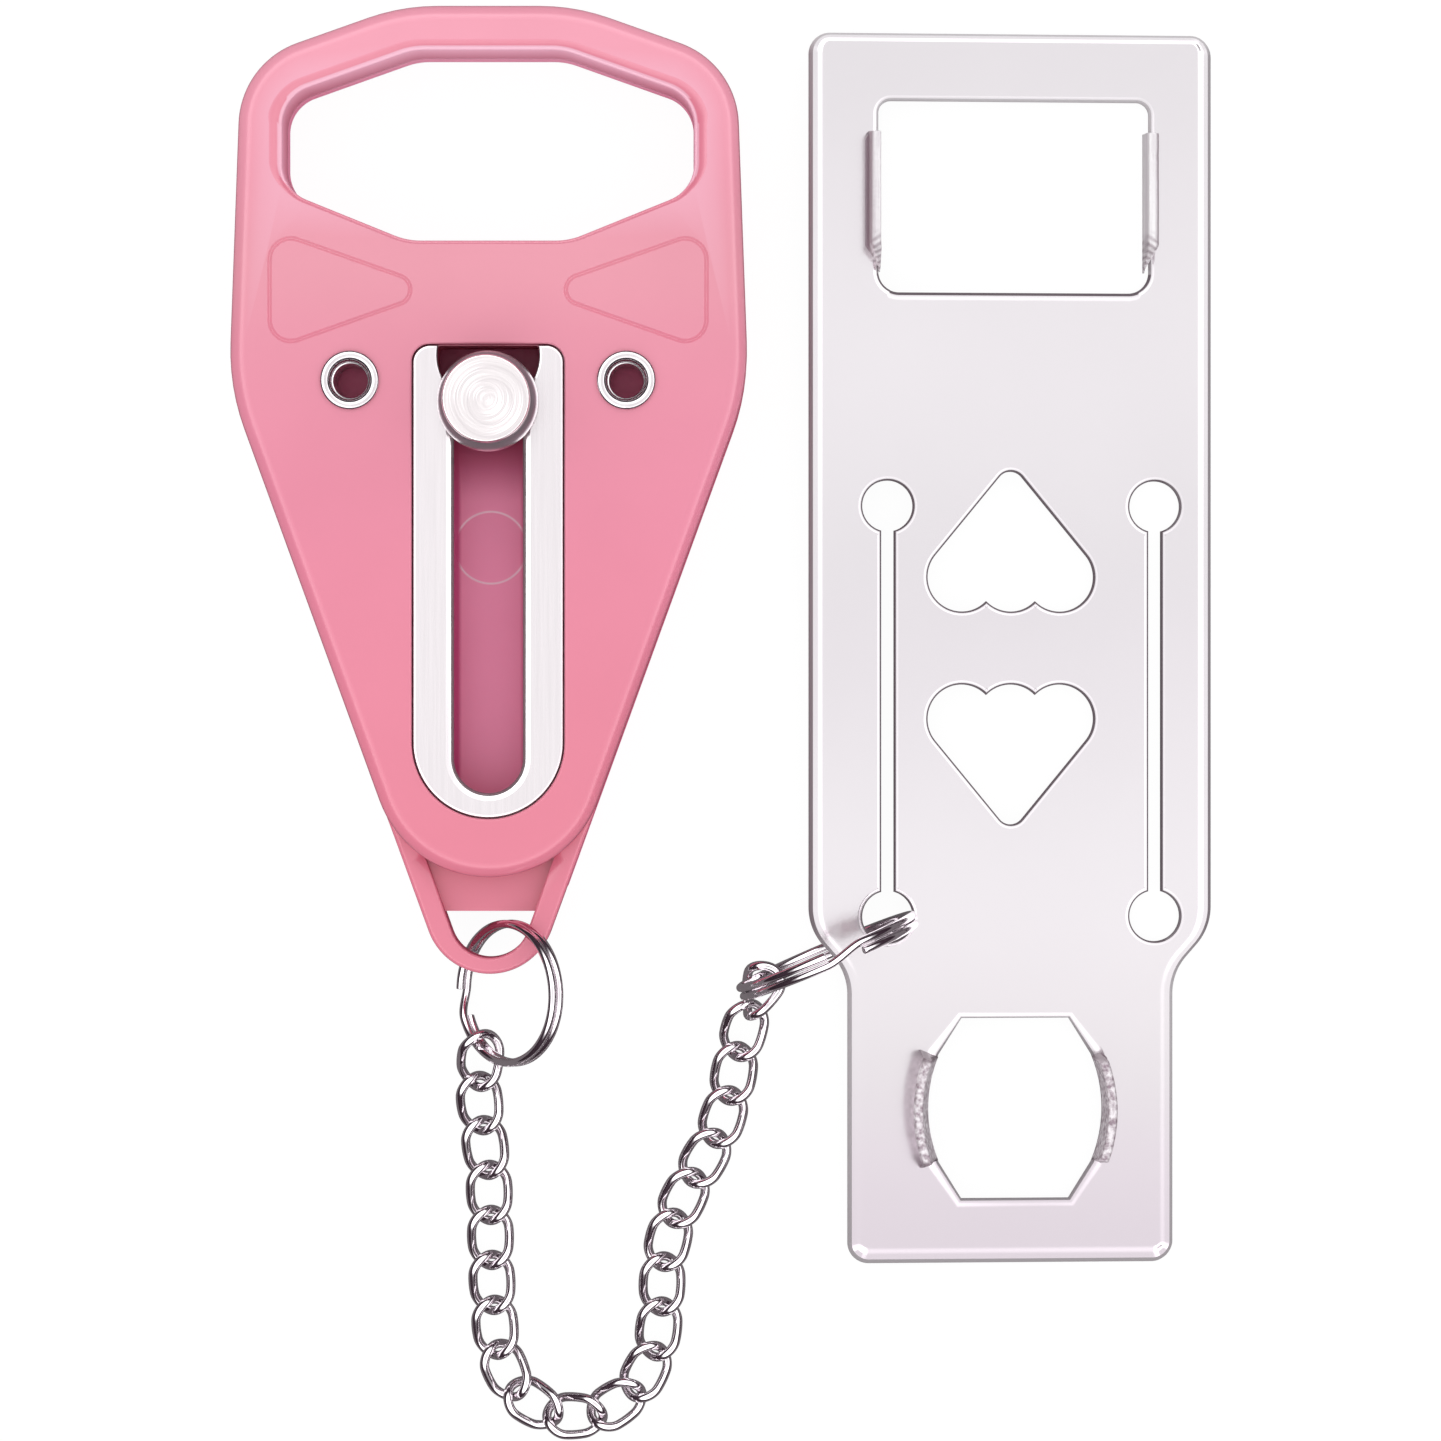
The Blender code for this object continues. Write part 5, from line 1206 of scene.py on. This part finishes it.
def node_axes(name):
    """Centre and main directions of a CAD node, from the second moments of its triangles."""
    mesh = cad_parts[name].data
    corners = np.empty(len(mesh.loops), dtype=int)
    mesh.loops.foreach_get("vertex_index", corners)
    triangles = points_of(mesh)[corners].reshape(-1, 3, 3)
    first, second, third = triangles.transpose(1, 0, 2)
    area = np.linalg.norm(np.cross(second - first, third - first), axis=1)
    middle = (triangles.mean(axis=1) * area[:, None]).sum(axis=0) / area.sum()
    offset = triangles - middle
    total = offset.sum(axis=1)
    moments = np.einsum("tij,tik,t->jk", offset, offset, area)
    _, axes = np.linalg.eigh(moments + np.einsum("ti,tj,t->ij", total, total, area))
    axes = axes[:, ::-1]
    axes[:, 2] = np.cross(axes[:, 0], axes[:, 1])
    matrix = np.eye(4)
    matrix[:3, :3] = axes
    matrix[:3, 3] = middle
    return matrix


def link_path():
    """An oval, two half circles and two straights, twisted about its long axis in step with x."""
    half_length = (LINK_LENGTH - WIRE) / 2
    half_width = (LINK_WIDTH - WIRE) / 2
    straight = half_length - half_width
    bend = [straight, 0] + half_width * units(np.linspace(-math.pi / 2, math.pi / 2, BEND_STEPS))
    along = np.linspace(straight, -straight, SIDE_STEPS + 2)[1:-1]
    side = np.column_stack((along, np.full(SIDE_STEPS, half_width)))
    oval = np.vstack((bend, side))
    oval = np.vstack((oval, -oval))
    twist = LINK_TWIST * oval[:, 0] / half_length
    return np.column_stack((oval[:, 0], oval[:, 1] * np.cos(twist), oval[:, 1] * np.sin(twist)))


link = [tube(link_path(), LINK_WIRE / 2)]
for i in range(1, 22):
    name = f"chain_link_{i:02d}"
    piece(f"link_{i:02d}", link, chrome, name, node_axes(name), "bright_steel", [name], sharp=60)

# %% [markdown]
# ## Claw plate
#
# A pressed plate of polished steel. The press draws its edges down a little before it cuts, so the light
# catches a soft band just inside every edge.

# %% Plate outlines
PLATE_THICK = 1.2
KEYHOLE = 3.16
SQUARE_SHIFT = 0.4
OCTAGON_MIDDLE = np.array([0.55, -133.6])
OCTAGON_FLAT = np.array([6.7, 11.2])
BULGE = 17.0
BULGE_HALF = 6.7
BULGE_MIDDLE = 9.5 - math.sqrt(BULGE**2 - BULGE_HALF**2)
SLOT_PLACES = (-15.35, 18.0)
SLOT_TOP, SLOT_LOW = -58.9, -109.8
SLOT_NECK = 0.8
plate_edge = symmetric([(25.13, -0.3, 2.6), (25.13, -111.3, 7.0), (20.3, -116.8, 7.0), (20.3, -152.8, 2.6)])
square = symmetric([(16.9, -8.65, 1.6), (16.9, -32.4, 2.6)]) + [SQUARE_SHIFT, 0, 0, 0]


def slot_outline(x):
    """A narrow slot with a round hole at each end."""
    neck = math.asin(SLOT_NECK / KEYHOLE)
    upper = arc((x, SLOT_TOP), KEYHOLE, math.pi * 3 / 2 - neck, neck - math.pi / 2)
    lower = arc((x, SLOT_LOW), KEYHOLE, math.pi / 2 - neck, neck - math.pi * 3 / 2)
    return mitred(np.vstack((upper, lower))[:, :2])


def heart_outline(tip, up):
    """Three round lobes in a row and two straight sides that meet in a rounded tip."""
    radius, tip_radius, spacing, length = 4.27, 1.8, 6.1, 11.3
    lean = math.atan2(spacing, length) + math.asin((radius - tip_radius) / math.hypot(spacing, length))
    dip = math.acos(spacing / 2 / radius)
    tip_arc = arc((0, length), tip_radius, math.pi / 2, lean)
    lobes = arc((spacing, 0), radius, lean, dip - math.pi), arc((0, 0), radius, -dip, -math.pi / 2)
    right = np.vstack((tip_arc, *lobes))[:, :2]
    points = np.vstack((right, mirrored(right)))
    points = points * [1, up] + [0, -tip - up * (length + tip_radius)]
    return mitred(points if up > 0 else points[::-1])


def octagon_outline():
    """Two flats, four slants and two sides that bulge outwards."""
    sweep = math.asin(BULGE_HALF / BULGE)
    bulge = arc((BULGE_MIDDLE, 0), BULGE, sweep, -sweep)[:, :2]
    right = np.vstack((OCTAGON_FLAT, bulge, OCTAGON_FLAT * [1, -1]))
    return mitred(np.vstack((right, mirrored(right))) + OCTAGON_MIDDLE)


octagon = octagon_outline()
print("points round the eight-sided opening:", len(octagon))

# %% [markdown]
# The cut edges are walls whose profile is the pressed edge: a soft fall, a flat land and a chamfer. A bevel
# would be even all round, but here the width and the depth change along each outline, as in the photograph.


# %% Plate
def draw_down(width, depth, land, chamfer, way=1):
    """A pressed edge from above: a soft fall over a width, a flat land, a steep chamfer, then the wall."""
    start = chamfer + land
    rows = [(start + width + HOLD, 0, 0)]
    rows += [(start + width * (1 - u), 0, depth * u**2 * (3 - 2 * u)) for u in np.linspace(0, 1, 13)]
    rows += [(chamfer + HOLD, 0, depth), (chamfer, 0, depth)] if land else []
    rows += [(chamfer * 0.35, -chamfer * 0.65, depth), (0, -chamfer * 1.5, depth)]
    rows = [(way * x, PLATE_THICK, up, fall) for x, up, fall in rows]
    return rows + [(*row, 0) for row in round_edge(0.1, 0, way=-1, side=way, steps=3)]


def edge_weights(outline, low):
    """How wide and how deep the outer edge is pressed: least on the foot's sides, most round corners."""
    beside, ahead = outline[:, 2] ** 2, outline[:, 3] ** 2
    side = np.interp(outline[:, 1], [-118, -111], [0.42, 1.0])
    end = np.where(low, 0.62, 0.55)
    bend = np.minimum(1, 5 * beside * ahead)
    corner = bend * np.where(low, 1.1, np.where(outline[:, 1] > -5, 0.5, 0))
    return beside + ahead * np.where(low, 1.15, 0.62), beside * side + ahead * end + corner


def plate_shade(places):
    """Painted shade on the cut: most at the long sides and slots, least along the top and the foot's sides."""
    x, y = abs(places[:, 0]), places[:, 1]
    outer = (x > 19.4) | (y > -1.5) | (y < -150.6)
    rim = np.interp(y, [-150, -148, -119, -111, -4, -1.2], [0.5, 0.3, 0.3, 0.8, 0.8, 0.1])
    in_square = (y > -34) & (x < 18.5)
    in_octagon = (y < -121) & (x < 13)
    square_parts = [in_square & (y > -11), in_square & (y > -30), in_square]
    octagon_parts = [in_octagon & (y > -125), in_octagon]
    return np.select([outer, *square_parts, *octagon_parts], [rim, 0.12, 0.35, 0.9, 0.35, 0.6], 0.9)


outer_width, outer_fall = edge_weights(plate_edge, plate_edge[:, 1] < -130)
at_foot, at_top = octagon[:, 1] < -144.6, octagon[:, 1] > -122.6
octagon_width = np.select([at_foot, at_top], [1.6, 1.0], 2.1)
octagon_fall = np.select([at_foot, at_top], [2.6, 1.1], 3.2)
narrow = draw_down(0.4, 0.055, 0, 0.2, way=-1)
edges = [(plate_edge, draw_down(0.95, 0.17, 0.42, 0.48), outer_width, outer_fall)]
edges.append((square, draw_down(0.5, 0.06, 0, 0.26, way=-1), np.where(square[:, 3] < -0.9, 1.5, 1.0), 1.3))
edges += [(slot_outline(x), narrow, 1.0, 1.0) for x in SLOT_PLACES]
edges += [(heart_outline(tip, up), narrow, 1.0, 1.1) for tip, up in ((54.6, 1), (98.4, -1))]
edges.append((octagon, draw_down(0.62, 0.08, 0, 0.16, way=-1), octagon_width, octagon_fall))
plate = [wall(outline, profile, width, lift=fall) for outline, profile, width, fall in edges]
for row, level in ((0, PLATE_THICK), (-1, 0)):
    loops = [edge_of(outline, profile[row][:3], width) for outline, profile, width, _ in edges]
    plate.append(cap(loops, level))
piece("plate", plate, plate_finish, "claw_plate", PLATE, "plate_steel", ["claw_plate"], shade=plate_shade)

# %% [markdown]
# ## Claws
#
# Four tongues are sheared from the openings' sides and bent up. Each is a section, a closed loop of points,
# carried along the opening's side. The left two lean outwards towards their crests. The free edge is torn,
# so its height wanders a little. Painted shade on the points darkens the outer slope, and the torn ends too.

# %% Claws
CLAW_ROOT = 0.5
CLAW_CREST = 0.26
CLAW_SLOPE = 0.65
CLAW_TEAR = 0.12
CLAW_SUNK = 0.3


def claw_section(thick):
    """Rows (across, share of the height, rise): up the inner face, over the crest, down to the fillet."""
    quarter = np.linspace(0, math.pi / 2, 6)
    over_in = [(CLAW_CREST * (1 - math.cos(a)), 1, CLAW_CREST * (math.sin(a) - 1)) for a in quarter]
    over_out = [(thick - CLAW_SLOPE * (1 - math.sin(a)), 1, 0.5 * (math.cos(a) - 1)) for a in quarter]
    root = [(thick + CLAW_ROOT * (1 - math.cos(a)), 0, CLAW_ROOT * (1 - math.sin(a))) for a in quarter]
    under = [(thick + CLAW_ROOT, 0, -CLAW_SUNK), (0, 0, -CLAW_SUNK)]
    return np.array([*over_in, *over_out, *root, *under])


def claw(path, outward, height, start, end, thick, lean, narrows=0.05):
    """The section carried along a path; start and end are the shares of it over which the claw rises.

    Point = path + outward * (across + lean * share), at plate top + height * share + rise. Height wanders
    where it was torn. The root narrows over a share at the path's end.
    """
    count = len(path)
    t = np.linspace(0, 1, count)
    random = np.random.default_rng(7)
    torn = np.convolve(random.normal(0, 1, count + 4), np.ones(5) / 5, "valid")
    ends = np.minimum(np.clip(t / start, 0, 1), np.clip((1 - t) / end, 0, 1))
    tall = CLAW_CREST + (height - CLAW_CREST) * ends + CLAW_TEAR * torn * ends
    across, share, rise = claw_section(thick).T[:, :, None]
    root = np.clip(np.minimum(t / 0.05, (1 - t) / narrows), 0.05, 1)
    across = np.where(across > thick, thick + (across - thick) * root, across) + lean * share
    across = across * np.where(narrows > 0.1, np.clip((1 - t) / narrows, 0.15, 1), 1.0)
    flat = path[None] + outward[None] * across[:, :, None]
    level = PLATE_THICK + share * tall + rise * np.where((share == 0) & (rise > 0), root, 1)
    body = np.dstack((flat, level))
    patches = [grid(body, close_rows=True)]
    for column in (0, -1):
        rim = body[:, column]
        rim = np.vstack((rim, rim[:1]))
        patches.append(grid(np.stack((rim, np.broadcast_to(rim.mean(axis=0), rim.shape)), axis=1)))
    return patches


# %% [markdown]
# The straight claws stand beside the square opening, and the curved ones follow the sides of the other.

# %% The four claws
STRAIGHT_CLAWS = {-1: (-16.3, 0.35), 1: (16.45, 0.0)}
STRAIGHT_ENDS = (-12.7, -29.9)
STRAIGHT_THICK, STRAIGHT_HEIGHT = 1.35, 5.0
CURVED_LEANS = {-1: 1.35, 1: -0.1}
# how deep the painted shade on each curved claw's outer slope goes: less on the left
CURVED_SLOPE_SHADE = {-1: 0.15, 1: 0.9}
CURVED_THICK, CURVED_HEIGHT = 1.15, 6.5
CURVE, CURVE_HALF = 16.97, 6.4
STATIONS = 90


def height_share(places, height):
    """How high up a claw each point is, from 0 at the plate to 1."""
    return np.clip((places[:, 2] - PLATE_THICK) / height, 0, 1)


def straight_shade(places, side, x, lean):
    """Painted shade down the outer slope, none on the inner face and crest, and dark ridges where the foot
    tore.
    """
    across = (places[:, 0] - x) * side - lean * height_share(places, STRAIGHT_HEIGHT)
    thick = STRAIGHT_THICK
    slope = np.interp(across, [thick - CLAW_SLOPE, thick - 0.3, thick, thick + 0.2], [0, 0.45, 0.9, 1])
    torn = 0.5 + 0.5 * np.sin(6.5 * places[:, 1] + 4 * across + 2 * places[:, 2])
    return np.maximum(slope, torn * np.interp(-places[:, 1], [25, 26.5], [0, 0.8]))


def curved_shade(places, side, centre, lean):
    """Painted shade down the outer slope, and darker at both ends."""
    away = places[:, :2] - centre
    across = np.hypot(*away.T) - CURVE - lean * height_share(places, CURVED_HEIGHT)
    slope = np.interp(across, [CURVED_THICK - 0.25, CURVED_THICK + 0.1], [0, CURVED_SLOPE_SHADE[side]])
    return np.maximum(slope, np.interp(abs(away[:, 1]), [5.9, 6.3], [0, 0.8]))


def claw_piece(name, patches, material, shade_of, *about):
    """One claw on the plate, with the painted shade that a function gives its points."""
    values = {"sharp": 40, "shade": lambda places: shade_of(places, *about)}
    piece(name, patches, material, "claw_plate", PLATE, "plate_steel", **values)


for side, label in ((-1, "left"), (1, "right")):
    x, lean = STRAIGHT_CLAWS[side]
    path = np.column_stack((np.full(STATIONS, x), np.linspace(*STRAIGHT_ENDS, STATIONS)))
    outward = np.tile([side, 0.0], (STATIONS, 1))
    patches = claw(path, outward, STRAIGHT_HEIGHT, 0.015, 0.15, STRAIGHT_THICK, lean, narrows=0.18)
    claw_piece(f"claw_straight_{label}", patches, claw_finish, straight_shade, side, x, lean)

    half_sweep = math.asin(CURVE_HALF / CURVE)
    lean = CURVED_LEANS[side]
    unit = units(np.linspace(half_sweep, -half_sweep, STATIONS)) * [side, 1]
    centre = OCTAGON_MIDDLE + [side * BULGE_MIDDLE, 0]
    patches = claw(centre + CURVE * unit, unit, CURVED_HEIGHT, 0.04, 0.04, CURVED_THICK, lean)
    claw_piece(f"claw_curved_{label}", patches, torn_finish, curved_shade, side, centre, lean)

# %% [markdown]
# ## Table, light and camera
#
# The lock lies on a white table under an even dome that is brightest part of the way down, so flat steel
# looks pale, sloping edges flash, and the sides of a wire fall into the darker horizon. The camera and rays
# through glass see a bright table; glossy reflections see a small share of it, FLOOR_REFLECTED.

# %% Table
FLOOR_GLOW = 0.88
FLOOR_REFLECTED = 0.08
FLOOR_WHITE = 1.08
FLOOR_HALF = 3
CLOTH = (0.62, 0.62, 0.62, 1)
CLOTH_IN_METAL = (0.10, 0.08, 0.09, 1)
floor_corners = [(FLOOR_HALF * x, FLOOR_HALF * y, 0) for x, y in ((-1, -1), (1, -1), (1, 1), (-1, 1))]
floor_mesh = bpy.data.meshes.new("floor")
floor_mesh.from_pydata(floor_corners, [], [(0, 1, 2, 3)])
floor = bpy.data.objects.new("floor", floor_mesh)
bpy.context.scene.collection.objects.link(floor)
floor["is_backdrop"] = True
floor_material = bpy.data.materials.new("white table")
floor_material.use_nodes = True
tree = floor_material.node_tree
cloth = tree.nodes["Principled BSDF"]
cloth.inputs["Roughness"].default_value = 0.9
cloth.inputs["Specular IOR Level"].default_value = 0.0
rays = add_node(tree, "ShaderNodeLightPath").outputs
tone = mixed(tree, rays["Is Glossy Ray"], CLOTH, CLOTH_IN_METAL)
tree.links.new(cloth.inputs["Base Color"], tone)
straight = calc(tree, "MAXIMUM", rays["Is Camera Ray"], rays["Is Transmission Ray"])
seen = calc(tree, "MULTIPLY", straight, FLOOR_GLOW)
share = calc(tree, "MULTIPLY_ADD", rays["Is Glossy Ray"], FLOOR_REFLECTED, seen)
glow = add_node(tree, "ShaderNodeEmission", Strength=FLOOR_WHITE).outputs[0]
white = add_node(tree, "ShaderNodeMixShader", share, cloth.outputs["BSDF"], glow).outputs[0]
tree.links.new(tree.nodes["Material Output"].inputs["Surface"], white)
floor_mesh.materials.append(floor_material)
print("table:", floor_material.name)

# %% [markdown]
# The light is one dome whose brightness depends only on the angle from its middle, which leans a little from
# the zenith. Area lights would do as well, but their edges would show in the polished steel.

# %% Light
DOME_LEAN = math.radians(7)
DOME_RINGS = [(0, 0.97), (14, 0.97), (29, 1.5), (37, 2.4), (46, 2.4), (54, 0.5), (60, 0.05), (90, 0.03)]
DARK_TINT = (1.0, 0.62, 0.85)
world = bpy.data.worlds.new("studio dome")
bpy.context.scene.world = world
world.use_nodes = True
tree = world.node_tree
upright = (math.sin(DOME_LEAN), 0, math.cos(DOME_LEAN))
height = vector_calc(tree, "DOT_PRODUCT", place_in(tree, "Generated"), upright)
stops = []
for degrees, level in reversed(DOME_RINGS):
    tint = DARK_TINT if level < 0.5 else (1, 1, 1)
    stops.append((math.cos(math.radians(degrees)), (*[level * part for part in tint], 1)))
glossy = add_node(tree, "ShaderNodeLightPath").outputs["Is Glossy Ray"]
light = mixed(tree, glossy, (1, 1, 1, 1), ramp(tree, height, stops))
tree.links.new(tree.nodes["Background"].inputs["Color"], light)
print("rings of light:", len(DOME_RINGS))

# %% Camera
SCALE_PLANE = 12.0
DISTANCE = 600.0
VIEW_WIDTH = 176.1
VIEW_MIDDLE = (28.42, 87.6)
camera_data = bpy.data.cameras.new("camera")
camera_data.angle = 2 * math.atan(VIEW_WIDTH / 2 / DISTANCE)
camera_data.clip_end = 10
camera = bpy.data.objects.new("camera", camera_data)
bpy.context.scene.collection.objects.link(camera)
camera.location = (*on_lock(*VIEW_MIDDLE)[:2], (DISTANCE + SCALE_PLANE) * MM)
bpy.context.scene.camera = camera
bpy.context.scene.view_settings.view_transform = "Standard"
print("camera at", [round(part, 3) for part in camera.location])

sizes = {"cad": [list(corner) for corner in CAD_BOX], "visual": [list(corner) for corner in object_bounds()]}
for label, (low, high) in sizes.items():
    print(label, [round((b - a) / MM, 2) for a, b in zip(low, high)])
